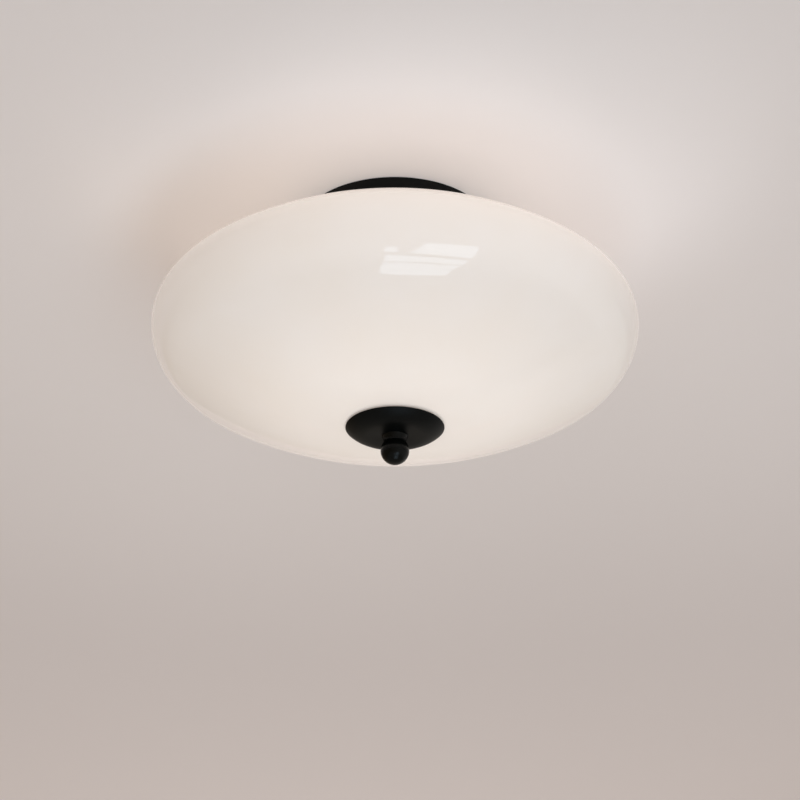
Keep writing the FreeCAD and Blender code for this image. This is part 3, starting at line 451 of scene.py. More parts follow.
def threaded(rod):
    # Rod with a pointed thread, and with a bore where it is hollow.
    crest, root = rod["crest"], rod["crest"] - rod["depth"]
    rise, top, fall, foot = build["flanks"]
    mesh = helix(rod, [(root, 0), (root, rise), (crest, top), (crest, fall), (root, foot), (root, 1)])
    if rod["bore"]:
        for height in (rod["bottom"], rod["top"]):
            rim = [edge for edge in mesh.edges
                   if edge.is_boundary and abs(edge.verts[0].co.z - height) < build["weld"] * 2]
            bmesh.ops.bridge_loops(mesh, edges=rim + circle(mesh, rod["steps"], rod["bore"], height))
        bmesh.ops.bridge_loops(mesh, edges=[edge for edge in mesh.edges if edge.is_boundary])
    else:
        bmesh.ops.holes_fill(mesh, edges=[edge for edge in mesh.edges if edge.is_boundary], sides=0)
    bmesh.ops.recalc_face_normals(mesh, faces=mesh.faces)
    return mesh


def rolledShell(shell):
    # Thin sheet rolled to a round-topped screw thread, as a lamp cap and its holder have.
    middle = shell["crest"] - shell["depth"] / 2
    shares = [step / shell["waveFaces"] for step in range(shell["waveFaces"] + 1)]
    mesh = helix(shell, [(middle + shell["depth"] / 2 * math.cos(math.tau * share), share)
                         for share in shares])
    bmesh.ops.recalc_face_normals(mesh, faces=mesh.faces)
    bmesh.ops.solidify(mesh, geom=mesh.faces[:], thickness=shell["sheet"])
    bmesh.ops.recalc_face_normals(mesh, faces=mesh.faces)
    return mesh


def hexagon(halfFlats, low, high, rounding=0):
    # six-sided bar with two flats square to Y, and with rounded upright edges where that is given
    mesh = bmesh.new()
    bmesh.ops.create_circle(mesh, cap_ends=True, segments=6, radius=halfFlats / math.cos(math.pi / 6),
                            matrix=at(0, 0, low) @ Matrix.Rotation(math.pi / 6, 4, "Z"))
    if rounding:
        rounded(mesh, mesh.verts[:], rounding * math.tan(math.pi / 6), segments=build["roundSteps"] * 2)
    return drawnOut(mesh, (0, 0, high - low))


def hexNut(halfFlats, bore, edge, sink, height):
    # A hexagon whose corners are turned off at both faces, round a countersunk bore, made from zero up.
    corner = halfFlats / math.cos(math.pi / 6) + edge
    near = halfFlats - edge
    fall = (corner - near) * math.tan(math.pi / 6)
    blank = turned([(bore + sink, 0), (near, 0), (corner, fall), (corner, height - fall), (near, height),
                    (bore + sink, height), (bore, height - sink), (bore, sink)])
    return carved(hexagon(halfFlats, 0, height), blank, "INTERSECT")


# screw head from its middle to its rim: shares of its radius and of its height, rounding in heights
headDome = ((0.55, 0.94), (0.9, 0.66, 0.12), (1, 0.3, 0.12), (1, 0, 0.06))


def slottedScrew(screw):
    # Domed head above zero with a driver slot across it, and a plain shank below.
    head, height, shank, tip = screw["head"], screw["headHeight"], screw["shank"], screw["tip"]
    dome = [(head * out, *(height * share for share in shares)) for out, *shares in headDome]
    mesh = turned([(0, height), *dome, (shank, 0), (shank, tip - screw["length"]),
                   (shank - tip, -screw["length"]), (0, -screw["length"])], closed=False)
    reach, half, over = head + build["over"], screw["slot"] / 2, height + build["over"]
    return carved(mesh, bar((-reach, -half, height - screw["slotDepth"]), (reach, half, over)))


washerTooth = 0.45         # share of a toothed washer's ring that its teeth take up


def toothedWasher(radius, bore, teeth, thick):
    # Shakeproof washer: a ring with short teeth round its rim, half as wide as their spacing.
    mesh = bmesh.new()
    tooth = (radius - bore) * washerTooth
    root = radius - tooth
    rings = [circle(mesh, teeth * 4, ring) for ring in (bore, root)]
    bmesh.ops.bridge_loops(mesh, edges=rings[0] + rings[1])
    rim = [edge for edge in mesh.edges if edge.is_boundary and edge.verts[0].co.length > root - tooth / 2]
    rim.sort(key=lambda edge: math.atan2(*((edge.verts[0].co + edge.verts[1].co) / 2).yx))
    grown = bmesh.ops.extrude_edge_only(mesh, edges=[edge for order, edge in enumerate(rim)
                                                     if order % 4 < 2])
    tips = [item for item in grown["geom"] if isinstance(item, bmesh.types.BMVert)]
    bmesh.ops.scale(mesh, vec=(radius / root, radius / root, 1), verts=tips)
    bmesh.ops.solidify(mesh, geom=mesh.faces[:], thickness=-thick)
    bmesh.ops.recalc_face_normals(mesh, faces=mesh.faces)
    lowest = min(vertex.co.z for vertex in mesh.verts)
    bmesh.ops.translate(mesh, vec=(0, 0, -lowest), verts=mesh.verts)
    return mesh


def titled(node):
    # canopy_nut to canopyNut
    first, *rest = node.split("_")
    return first + "".join(word.capitalize() for word in rest)


def finishPiece(mesh, node, slot="zinc_steel", body="ceiling_frame", materials=None, name=None,
                place=Matrix.Identity(4)):
    # brings a shape to its place and to metres, and puts it in for its CAD piece
    bmesh.ops.transform(mesh, matrix=place, verts=mesh.verts)
    bmesh.ops.scale(mesh, vec=(mm, mm, mm), verts=mesh.verts)
    crisp = math.radians(build["crease"])
    for face in mesh.faces:
        face.smooth = True
    for edge in mesh.edges:
        edge.smooth = edge.calc_face_angle(0) < crisp
    piece = meshObject(name or titled(node), mesh)
    for material in materials or [slot]:
        piece.data.materials.append(finish[material])
    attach(piece, body)
    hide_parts(node)


# Glass bowl

glass = {
    "radius": 190.0, "wall": 3.5, "ringDrop": 98.0,
    "lowerDepth": 81.5, "lowerShoulder": 41.5,
    "upperHeight": 84.0, "upperShoulder": 25.5,
    "seatRadius": 18.0, "holeRadius": 6.5, "mouthRadius": 120.0,
    "steps": 160, "domeFaces": 22, "shoulderFaces": 14, "lipFaces": 6,
}


def domeOf(depth, shoulder, down):
    # radius, centre height and turn of the large arc that meets a shoulder at a tangent, and that
    # shoulder's centre radius
    inner = glass["radius"] - shoulder
    arc = (inner ** 2 / (depth - shoulder) + shoulder + depth) / 2
    turn = math.degrees(math.atan2(inner, arc - depth))
    return arc, down * (arc - depth) - glass["ringDrop"], turn, inner


def glassBowl():
    wall, level = glass["wall"], -glass["ringDrop"]
    lower, lowerCentre, lowerTurn, lowerInner = domeOf(glass["lowerDepth"], glass["lowerShoulder"], 1)
    upper, upperCentre, upperTurn, upperInner = domeOf(glass["upperHeight"], glass["upperShoulder"], -1)
    mouthTurn = math.degrees(math.asin(glass["mouthRadius"] / upper))
    seatTurns, seatHeights = zip(*[(math.degrees(math.asin(glass["seatRadius"] / radius)),
                                    lowerCentre - math.sqrt(radius ** 2 - glass["seatRadius"] ** 2))
                                   for radius in (lower, lower - wall)])
    lip = math.radians(90 - mouthTurn)
    lipRadius = (upper - wall / 2) * math.cos(lip)
    lipHeight = upperCentre + (upper - wall / 2) * math.sin(lip)
    outside, inside = [[
        ("arc", 0, lowerCentre, way * (lowerTurn - seatTurn), glass["domeFaces"]),
        ("arc", lowerInner, level, way * (90 - lowerTurn), glass["shoulderFaces"]),
        ("arc", upperInner, level, way * (90 - upperTurn), glass["shoulderFaces"]),
        ("arc", 0, upperCentre, way * (upperTurn - mouthTurn), glass["domeFaces"]),
    ] for way, seatTurn in zip((1, -1), seatTurns)]
    outline = [
        (glass["holeRadius"], seatHeights[0]), (glass["seatRadius"], seatHeights[0]), *outside,
        ("arc", lipRadius, lipHeight, 180, glass["lipFaces"]), *reversed(inside),
        (glass["holeRadius"], seatHeights[1]),
    ]
    finishPiece(turned(outline, glass["steps"]), "glass_bowl", "opal_glass", "shade")


glassBowl()
print("glass bowl made")


# Bottom cap and finial

cap = {
    "rim": 38.5, "depth": 7.6, "flat": 21.0, "sheet": 1.2, "bore": 4.3, "boreEdge": 0.3, "lip": 0.4,
    "lipShare": 0.99,      # of the lip's rounding, so that it ends just short of the arc's last face
    "steps": 128, "faces": 16,
}


def bottomCap():
    base, rim = levels("bottom_cap")
    sheet, depth, flat = cap["sheet"], cap["depth"], cap["flat"]
    arc = ((cap["rim"] - flat) ** 2 + depth ** 2) / (2 * depth)
    centre = base + arc
    turns = [math.acos((arc - depth) / radius) for radius in (arc, arc - sheet)]
    lips = [cap["lip"] / math.tan(turns[0] / 2), cap["lip"] * math.tan(turns[1] / 2)]
    inner = flat + math.sqrt((arc - sheet) ** 2 - (arc - depth) ** 2)
    outline = [
        (cap["bore"], base, cap["boreEdge"]),
        (flat, base),
        ("arc", flat, centre, math.degrees(turns[0] - lips[0] / arc), cap["faces"]),
        (cap["rim"], rim, lips[0] * cap["lipShare"]),
        (inner, rim, lips[1]),
        ("arc", flat, centre, -math.degrees(turns[1]), cap["faces"]),
        (cap["bore"], base + sheet, cap["boreEdge"]),
    ]
    finishPiece(turned(outline, cap["steps"]), "bottom_cap", "black_coat", "cap")


ball = {
    "collar": 10.1, "waist": 8.55, "flare": 1.6, "ball": 11.0, "chamfer": 0.3,
    "pocket": 6.05, "pocketDepth": 12.5, "blind": 4.4, "blindDepth": 14.5,
    "steps": 96, "faces": 26, "flareFaces": 10,
}


def ballFinial():
    bottom, top = levels("finial")
    collar, waist, chamfer = ball["collar"], ball["waist"], ball["chamfer"]
    pocketEnd, blindEnd = top - ball["pocketDepth"], top - ball["blindDepth"]
    centre = bottom + ball["ball"]
    rise = math.sqrt(ball["ball"] ** 2 - waist ** 2)
    turn = 90 + math.degrees(math.atan2(rise, waist))
    start = top - chamfer
    shares = [step / ball["flareFaces"] for step in range(1, ball["flareFaces"] + 1)]
    flare = [(waist + (collar - waist) * (1 - share) ** ball["flare"],
              start + (centre + rise - start) * share) for share in shares]
    outline = [
        (0, blindEnd), (ball["blind"], blindEnd), (ball["blind"], pocketEnd), (ball["pocket"], pocketEnd),
        (ball["pocket"], top), (collar - chamfer / 2, top, chamfer / 2), (collar, start), *flare,
        ("arc", 0, centre, -turn, ball["faces"]),
    ]
    finishPiece(turned(outline, ball["steps"], closed=False), "finial", "black_coat", "finial_knob",
                ["lacquer"], "ballFinial")


bottomCap()
ballFinial()
print("cap and finial made")


# Canopy, with the studs welded to its floor, and its two side screws

canopy = {
    "radius": 75.0, "depth": 25.0, "sheet": 1.0, "edge": 4.0, "rim": 0.4, "hole": 5.1, "screwHole": 2.1,
    "screwDrop": 9.0, "steps": 160, "rounds": 8,
    "studs": [
        # height, places, thread
        (17.0, [(-5.0, 36.0), (5.0, 36.0)],
         {"crest": 1.5, "depth": 0.3, "pitch": 0.5, "steps": 16, "bore": 0}),
        (8.0, [(40.0, 12.5)], {"crest": 2.0, "depth": 0.42, "pitch": 0.7, "steps": 16, "bore": 0}),
    ],
}
sideScrew = {"head": 3.6, "headHeight": 2.2, "shank": 2.0, "length": 8.0, "tip": 0.5, "slot": 0.9,
             "slotDepth": 1.0}


def canopyPan():
    radius, depth, sheet = canopy["radius"], canopy["depth"], canopy["sheet"]
    floor, inside = sheet - depth, radius - sheet
    mesh = turned([
        (canopy["hole"], -depth), (radius, -depth, canopy["edge"]), (radius, 0, canopy["rim"]),
        (inside, 0, canopy["rim"]), (inside, floor, canopy["edge"] - sheet), (canopy["hole"], floor),
    ], canopy["steps"], rounds=canopy["rounds"])
    for side in (-1, 1):
        start = (side * inside, 0, -canopy["screwDrop"])
        mesh = bored(mesh, canopy["screwHole"], sheet, start, (side, 0, 0))
    for height, places, stud in canopy["studs"]:
        rod = threaded({**stud, "bottom": floor, "top": floor + height})
        addTo(mesh, rod, [at(x, y, 0) for x, y in places], material=1)
    finishPiece(mesh, "canopy_pan", "black_coat", materials=["black_coat", "zinc_steel"])


def sideScrews():
    places = [along((side, 0, 0), (side * canopy["radius"], 0, -canopy["screwDrop"])) for side in (-1, 1)]
    finishPiece(addTo(bmesh.new(), slottedScrew(sideScrew), places), "side_screws", "black_coat")


canopyPan()
sideScrews()
print("canopy made")


# Ceiling strap

strap = {
    "width": 26.0, "sheet": 1.5, "bend": 3.0, "bendFaces": 8, "tab": 14.0, "hole": 8.0, "holeSteps": 48,
    "edge": 0.2, "edgeFaces": 2, "slotSpacing": 70.0, "slotLength": 14.0, "slotHalfWidth": 2.6,
    "screwHole": 2.05, "screwDrop": 9.0,
}


def ceilingStrap():
    sheet, width, bend, over = strap["sheet"], strap["width"], strap["bend"], build["over"]
    reach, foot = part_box("ceiling_strap")[1].x / mm, -strap["tab"]
    inner = reach - sheet
    ring = [(-reach, foot, 0), (-reach, 0, bend), (reach, 0, bend), (reach, foot, 0), (inner, foot, 0),
            (inner, -sheet, bend - sheet), (-inner, -sheet, bend - sheet), (-inner, foot, 0)]
    mesh = bmesh.new()
    corners = [mesh.verts.new((x, -width / 2, z)) for x, z, _ in ring]
    mesh.faces.new(corners)
    for corner, (_, _, rounding) in zip(corners, ring):
        if rounding:
            rounded(mesh, [corner], rounding, segments=strap["bendFaces"])
    drawnOut(mesh, (0, width, 0))
    rims = [edge for edge in mesh.edges if edge.calc_face_angle(0) > 1 and
            abs(abs(edge.verts[0].co.y + edge.verts[1].co.y) - width) < build["weld"]]
    rounded(mesh, rims, strap["edge"], "EDGES", strap["edgeFaces"])
    mesh = bored(mesh, strap["hole"], sheet, (0, 0, -sheet), steps=strap["holeSteps"])
    straight = strap["slotLength"] / 2 - strap["slotHalfWidth"]
    for side in (-1, 1):
        slot = drill(strap["slotHalfWidth"], sheet + 2 * over, (0, 0, -sheet - over))
        for way in (-1, 1):
            end = [vertex for vertex in slot.verts if vertex.co.x * way > build["weld"]]
            bmesh.ops.translate(slot, vec=(way * straight, 0, 0), verts=end)
        bmesh.ops.translate(slot, vec=(side * strap["slotSpacing"] / 2, 0, 0), verts=slot.verts)
        mesh = carved(mesh, slot)
        mesh = bored(mesh, strap["screwHole"], sheet, (side * inner, 0, -strap["screwDrop"]), (side, 0, 0))
    finishPiece(mesh, "ceiling_strap")


ceilingStrap()
print("ceiling strap made")


# Rods, nuts and washers

rods = {
    "upper_rod": {"crest": 5.0, "depth": 0.54, "pitch": 1.0, "steps": 32, "bore": 3.6},
    "lower_rod": {"crest": 4.0, "depth": 0.68, "pitch": 1.25, "steps": 32, "bore": 0},
}
bush = {"flange": 5.0, "flangeHeight": 1.0, "sleeve": 3.55, "bore": 2.9, "edge": 0.25}
rodNuts = {
    # node: half flats, bore, corner, countersink, places
    "canopy_nut": (7.0, 5.05, 0.25, 0.5, [(0, 0)]),
    "lid_nut": (7.0, 5.05, 0.25, 0.5, [(0, 0)]),
    "hub_floor_nut": (6.5, 4.05, 0.25, 0.5, [(0, 0)]),
    "hub_lock_nut": (6.5, 4.05, 0.25, 0.5, [(0, 0)]),
    "clamp_nut": (6.5, 4.05, 0.25, 0.5, [(0, 0)]),
}
toothed = {
    # node: radius, bore, teeth
    "canopy_lock_washer": (9.0, 5.1, 16),
    "hub_lock_washer": (7.5, 4.1, 14),
}
flatRings = {
    # node: radius, bore, edge rounding, slot, body
    "clamp_disc": (18.0, 4.1, 0.35, "zinc_steel", "ceiling_frame"),
    "upper_shade_washer": (16.0, 4.3, 0.4, "silicone", "shade"),
    "lower_shade_washer": (16.0, 4.3, 0.6, "silicone", "shade"),
    "spacer_ring": (14.0, 4.3, 0.5, "block_plastic", "cap"),
    "spacer_sleeve": (8.0, 5.3, 0.35, "black_coat", "ceiling_frame"),
}
flatRingSteps = 64


def rodBush():
    low, high = levels("rod_bush")
    bore, flange, edge = bush["bore"], bush["flange"], bush["edge"]
    under = high - bush["flangeHeight"]
    mesh = turned([(bore, low, edge), (bush["sleeve"], low, edge), (bush["sleeve"], under),
                   (flange, under, edge), (flange, high, edge), (bore, high, edge)])
    finishPiece(mesh, "rod_bush", "block_plastic")


def nutPieces(nuts):
    for node, (halfFlats, bore, edge, sink, places) in nuts.items():
        low, high = levels(node)
        nut = hexNut(halfFlats, bore, edge, sink, high - low)
        finishPiece(addTo(bmesh.new(), nut, [at(x, y, low) for x, y in places]), node)


def rodsAndRings():
    for node, rod in rods.items():
        low, high = levels(node)
        finishPiece(threaded({**rod, "bottom": low, "top": high}), node)
    rodBush()
    nutPieces(rodNuts)
    for node, (radius, bore, teeth) in toothed.items():
        low, high = levels(node)
        finishPiece(toothedWasher(radius, bore, teeth, high - low), node, place=at(0, 0, low))
    for node, (radius, bore, edge, slot, body) in flatRings.items():
        low, high = levels(node)
        outline = [(bore, low, edge / 2), (radius, low, edge), (radius, high, edge), (bore, high, edge / 2)]
        finishPiece(turned(outline, flatRingSteps), node, slot, body)


rodsAndRings()
print("rods, nuts and washers made")


# Hub

hub = {
    "halfFlats": 20.0, "wall": 1.6, "edge": 2.0, "rim": 0.5, "post": 3.0, "postLength": 8.02,
    "postAway": 18.25, "postAngles": (0.0, 120.0, 240.0), "postHole": 1.45, "lidHole": 1.5,
    "floorHole": 4.1, "lidBore": 5.1, "nippleHole": 5.1, "axisDrop": 84.0,
    "lampAngles": (90.0, 210.0, 330.0),
}
lidScrew = {"head": 2.6, "headHeight": 1.8, "shank": 1.4, "length": 8.52, "tip": 0.4, "slot": 0.9,
            "slotDepth": 1.0}


def onHub(angle, away):
    turn = math.radians(angle)
    return Vector((away * math.cos(turn), away * math.sin(turn), 0))


def lampMatrix(number):
    # from a shape made up the Z axis, with zero on the hub's flat, to its place on the hub
    angle = hub["lampAngles"][number - 1]
    return along(onHub(angle, 1), onHub(angle, hub["halfFlats"]) - Vector((0, 0, hub["axisDrop"])))


def softened(mesh, level):
    # rounds the edges of a flat face at one level
    edges = [edge for edge in mesh.edges
             if all(abs(vertex.co.z - level) < build["weld"] for vertex in edge.verts)]
    rounded(mesh, edges, hub["rim"], "EDGES")
    return mesh


def hubBody():
    base, rim = levels("hub_body")
    halfFlats, wall, length = hub["halfFlats"], hub["wall"], hub["postLength"]
    mesh = softened(hexagon(halfFlats, base, rim, hub["edge"]), base)
    mesh = carved(mesh, hexagon(halfFlats - wall, base + wall, rim + build["over"]))
    for angle in hub["postAngles"]:
        foot = onHub(angle, hub["postAway"]) + Vector((0, 0, rim - length))
        mesh = carved(mesh, drill(hub["post"], length, foot), "UNION")
        mesh = bored(mesh, hub["postHole"], length, foot)
    mesh = bored(mesh, hub["floorHole"], wall, (0, 0, base))
    for angle in hub["lampAngles"]:
        start = onHub(angle, halfFlats - wall) - Vector((0, 0, hub["axisDrop"]))
        mesh = bored(mesh, hub["nippleHole"], wall, start, onHub(angle, 1))
    finishPiece(mesh, "hub_body")


def hubLid():
    base, top = levels("hub_lid")
    mesh = softened(hexagon(hub["halfFlats"], base, top, hub["edge"]), top)
    mesh = bored(mesh, hub["lidBore"], top - base, (0, 0, base))
    posts = [onHub(angle, hub["postAway"]) for angle in hub["postAngles"]]
    for post in posts:
        mesh = bored(mesh, hub["lidHole"], top - base, post + Vector((0, 0, base)))
    finishPiece(mesh, "hub_lid")
    screws = addTo(bmesh.new(), slottedScrew(lidScrew), [at(*post.xy, top) for post in posts])
    finishPiece(screws, "lid_screws")


hubBody()
hubLid()
print("hub made")


# Lampholders and lamps. Their outlines are (radius, height, rounding) outwards from the hub's flat.

holder = {
    "outside": [(5.05, 0), (9.0, 0, 0.5), (9.0, 4.0, 0.8), (13.74, 10.0, 1.2)],
    "inside": [(13.74, 34.0, 0.8), (11.59, 34.0, 0.8), (11.59, 24.0, 0.4), (7.5, 22.0), (7.5, 8.0),
               (0, 8.0), (0, 6.0), (5.05, 6.0)],
    "grooves": (12.4, 14.8, 17.2), "groove": [(13.74, 0, 0.15), (13.24, 0.18, 0.1), (13.24, 0.72, 0.1),
                                              (13.74, 0.9, 0.15)],
    "wireHole": 1.1, "wireAside": 2.4, "wireSteps": 16, "floorStart": 6.0, "floor": 2.0, "steps": 72,
}
shell = {"crest": 7.42, "depth": 0.3, "pitch": 2.822, "steps": 40, "waveFaces": 8, "sheet": 0.1,
         "bottom": 8.0, "top": 22.0}
lampThread = {"crest": 6.9, "depth": 0.62, "pitch": 2.822, "steps": 48, "waveFaces": 10, "sheet": 0.12,
              "bottom": 13.0, "top": 23.6}
lampParts = [
    # faces round, closed, material, outline: collar, rim, glass insulator, solder tip
    (72, True, 0, [(6.08, 23.4), (6.55, 23.4), (6.9, 24.6, 0.5), (6.9, 27.0, 0.15), (6.5, 27.0, 0.1),
                   (6.5, 24.6)]),
    (72, True, 0, [(5.5, 12.3), (5.9, 12.3, 0.3), (6.652, 13.0, 0.3), (6.08, 13.0)]),
    (72, False, 1, [(0, 9.82), (1.8, 9.9), (3.2, 10.3, 0.3), (5.7, 12.3), (5.7, 13.0), (0, 13.0)]),
    (36, False, 0, [(0, 9.5), (1.26, 9.596, 0.3), (1.8, 9.98, 0.2), (1.8, 10.3), (0, 10.3)]),
]
lamp = {
    "capEnd": 27.0, "neck": 6.4, "neckDepth": 2.5, "shoulder": 7.6, "shoulderEdge": 0.3, "globe": 22.5,
    "globeCentre": 65.0, "wall": 1.0, "steps": 72, "faces": 30,
}


def lampholder(number):
    grooves = [(radius, start + height, rounding) for start in holder["grooves"]
               for radius, height, rounding in holder["groove"]]
    mesh = turned([*holder["outside"], *grooves, *holder["inside"]], holder["steps"])
    for side in (-1, 1):
        mesh = bored(mesh, holder["wireHole"], holder["floor"],
                     (side * holder["wireAside"], 0, holder["floorStart"]), steps=holder["wireSteps"])
    finishPiece(mesh, "lampholder_" + str(number), "holder_plastic", place=lampMatrix(number))


def lampCap(number):
    mesh = rolledShell(lampThread)
    for steps, closed, material, outline in lampParts:
        addTo(mesh, turned(outline, steps, closed), material=material)
    finishPiece(mesh, "lamp_cap_" + str(number), "lamp_cap_metal", "lamp_" + str(number),
                ["lamp_cap_metal", "vitrite"], place=lampMatrix(number))


def globeMeet(base, radius):
    # where the cone from the globe's start meets its ball at a tangent, and the ball's turn from there
    reach = lamp["globeCentre"] - lamp["capEnd"]
    slope = math.asin(radius / math.hypot(reach, base)) - math.atan2(base, reach)
    meet = (radius * math.cos(slope), lamp["globeCentre"] - radius * math.sin(slope))
    return meet, 90 + math.degrees(slope)


def lampGlobe(number):
    centre, inner, capEnd = lamp["globeCentre"], lamp["neck"] - lamp["wall"], lamp["capEnd"]
    low = capEnd - lamp["neckDepth"]
    meet, turn = globeMeet(lamp["shoulder"], lamp["globe"])
    inTurn = globeMeet(inner, lamp["globe"] - lamp["wall"])[1]
    mesh = turned([
        (inner, low), (lamp["neck"], low), (lamp["neck"], capEnd),
        (lamp["shoulder"], capEnd, lamp["shoulderEdge"]), meet, ("arc", 0, centre, turn, lamp["faces"]),
    ], lamp["steps"], closed=False)
    addTo(mesh, turned([
        (0, centre + lamp["globe"] - lamp["wall"]), ("arc", 0, centre, -inTurn, lamp["faces"]),
        (inner, capEnd), (inner, low),
    ], lamp["steps"], closed=False))
    finishPiece(tidied(mesh), "lamp_globe_" + str(number), "lamp_glass", "lamp_" + str(number),
                place=lampMatrix(number))


for number in lampNumbers:
    lampholder(number)
    finishPiece(rolledShell(shell), "screw_shell_" + str(number), "brass", place=lampMatrix(number))
    lampCap(number)
    lampGlobe(number)
print("lampholders and lamps made")


# Terminal block, its screws and the nuts on the canopy's studs

block = {
    "low": (-16.0, 27.5, -24.0), "high": (16.0, 44.5, -10.0), "edge": 0.6, "edgeFaces": 2,
    "poles": (-10.0, 0.0, 10.0), "barrelHole": 2.65, "barrelRise": 5.5, "well": 1.9, "wellsAside": 4.0,
    "middle": 36.0, "studs": (-5.0, 5.0), "studHole": 1.6, "notch": 1.2, "notchDepth": 3.0,
    "notchFloor": 1.2,
}
terminalScrew = {"head": 1.8, "headHeight": 2.0, "shank": 1.0, "length": 4.45, "tip": 0.2, "slot": 0.6,
                 "slotDepth": 0.9}
studNuts = {
    # node: half flats, bore, corner, countersink, places
    "block_nuts": (2.75, 1.55, 0.15, 0.25, [(-5.0, 36.0), (5.0, 36.0)]),
    "earth_nut": (3.5, 2.05, 0.15, 0.25, [(40.0, 12.5)]),
}


def terminalBlock():
    low, high, middle = block["low"], block["high"], block["middle"]
    axis = low[2] + block["barrelRise"]
    half, deep = block["notch"] / 2, block["notchDepth"]
    mesh = bar(low, high)
    rounded(mesh, mesh.edges[:], block["edge"], "EDGES", block["edgeFaces"])
    for x in block["poles"]:
        mesh = bored(mesh, block["barrelHole"], high[1] - low[1], (x, low[1], axis), (0, 1, 0))
        for aside in (-block["wellsAside"], block["wellsAside"]):
            mesh = bored(mesh, block["well"], high[2] - axis, (x, middle + aside, axis))
    for x in block["studs"]:
        mesh = bored(mesh, block["studHole"], high[2] - low[2], (x, middle, low[2]))
        for y in (low[1], high[1]):
            mesh = carved(mesh, bar((x - half, y - deep, low[2] + block["notchFloor"]),
                                    (x + half, y + deep, high[2] + build["over"])))
    finishPiece(mesh, "terminal_block", "block_plastic")


def terminalScrews():
    under = levels("terminal_screws")[1] - terminalScrew["headHeight"]
    places = [at(x, block["middle"] + side * block["wellsAside"], under)
              for x in block["poles"] for side in (-1, 1)]
    finishPiece(addTo(bmesh.new(), slottedScrew(terminalScrew), places), "terminal_screws")


terminalBlock()
terminalScrews()
nutPieces(studNuts)
print("terminal block made")


# Leads inside the canopy and the rod, along the routes of their CAD pieces

leads = {
    "radius": 1.0, "sides": 6, "detail": 12,
    "routes": [
        # node, slot, points
        ("live_lead", "brown_lead", [(-10, 36, -18.5), (-10, 20, -18.5), (-4.5, 8.5, -8), (-1.3, 0, -8),
                                     (-1.3, 0, -17), (-1.3, 0, -78)]),
        ("neutral_lead", "blue_lead", [(0, 36, -18.5), (0, 20, -18.5), (4.5, 8.5, -8), (1.3, 0, -8),
                                       (1.3, 0, -17), (1.3, 0, -78)]),
        ("earth_lead", "earth_lead_cover", [
            (10, 36, -18.5), (10, 19, -18.5), (19.25, 12.5, -22.2), (33.6, 12.5, -22.2)]),
    ],
}


def leadPiece(node, slot, points):
    curve = bpy.data.curves.new("lead", "CURVE")
    curve.dimensions = "3D"
    spline = curve.splines.new("NURBS")
    spline.points.add(len(points) - 1)
    for point, place in zip(spline.points, points):
        point.co = (*place, 1)
    spline.order_u = 3
    spline.use_endpoint_u = True
    spline.resolution_u = leads["detail"]
    curve.bevel_depth = leads["radius"]
    curve.bevel_resolution = leads["sides"]
    curve.use_fill_caps = True
    lead = newObject("lead", curve)
    bpy.context.view_layer.update()
    data = bpy.data.meshes.new_from_object(lead.evaluated_get(bpy.context.evaluated_depsgraph_get()))
    bpy.data.curves.remove(curve)
    mesh = bmesh.new()
    mesh.from_mesh(data)
    bpy.data.meshes.remove(data)
    finishPiece(tidied(mesh), node, slot)


for leadRoute in leads["routes"]:
    leadPiece(*leadRoute)
print("leads made")


# CAD pieces that keep their shape

carried = {
    "brass": ["terminal_barrels", "earth_ring", "nipple_nuts", "finial_insert",
              *(kind + str(number) for kind in ("holder_nipple_", "centre_contact_")
                for number in lampNumbers)],
    "block_plastic": ["hub_connector"],
    "brown_lead": ["lamp_live_leads"],
    "blue_lead": ["lamp_neutral_leads"],
}
for slot, names in carried.items():
    for name in names:
        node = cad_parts[name]
        node.data.materials.clear()
        node.data.materials.append(finish[slot])
print("carried-over pieces finished")


# Stage: a pale ceiling, a pale floor far below and soft lights, in metres but for the plaster's grain

stage = {
    "ceiling": "#E4D9D4", "ceilingSize": 6.0, "ceilingGap": 0.0005, "plaster": 3.0, "plasterDepth": 0.05,
    "floor": "#D8D2CB", "floorSize": 8.0, "floorLevel": -2.4,
    "world": "#FFFCFA", "worldStrength": 0.465,
}
glows = [
    # what the bowl throws on the ceiling: centre, where it starts to fade, where it ends, strength, colour
    ((0.030, -0.105, 0), 0.05, 0.32, 0.138, "#F4F9FF"),
    ((-0.15, -0.03, 0), 0.02, 0.16, 0.022, "#FFD998"),
    ((0.16, -0.01, 0), 0.02, 0.18, 0.028, "#CFE4FF"),
    ((-0.06, 0.12, 0), 0.10, 1.05, 0.097, "#FFF7ED"),
]
walls = {
    # seen only in the gloss of the glass and the coat: dim and tan at the left, paler at the right
    "reach": 2.9, "left": "#94836F", "right": "#CFCBC6", "span": 2.0,
}
lights = {
    # name: place, aim, size, power, colour, seen in gloss
    "windowLight": ((3.8, -3.4, -0.9), (0, 0, -0.1), 1.5, 22.0, "#E6F0FF", False),
    "frontFill": ((-0.9, -4.5, -0.65), (0, 0, -0.1), 1.4, 38.0, "#FFFFFF", False),
    "backFill": ((-0.1, 2.5, -2.0), (0, 0, -0.1), 1.8, 19.5, "#FFFCFA", False),
    "topLight": ((0.5, -0.6, 1.7), (0, 0, -0.05), 1.2, 10.0, "#FFFFFF", True),
}
panes = {
    # a window's light on the floor as slats: it lights the bowl from below, and the glass mirrors it
    "level": -2.3, "colour": "#DCF0FF", "strength": 2.9,
    "corners": [
        ((-0.15, -0.10), (0.50, -0.04), (0.75, -0.48), (-0.13, -0.56)),
        ((-0.13, -0.67), (0.81, -0.56), (1.05, -0.98), (-0.14, -1.22)),
        ((0.22, -1.42), (1.22, -1.22), (2.80, -3.50), (1.10, -3.80)),
        ((-0.18, -1.55), (0.05, -1.55), (0.05, -2.20), (-0.18, -2.20)),
    ],
}


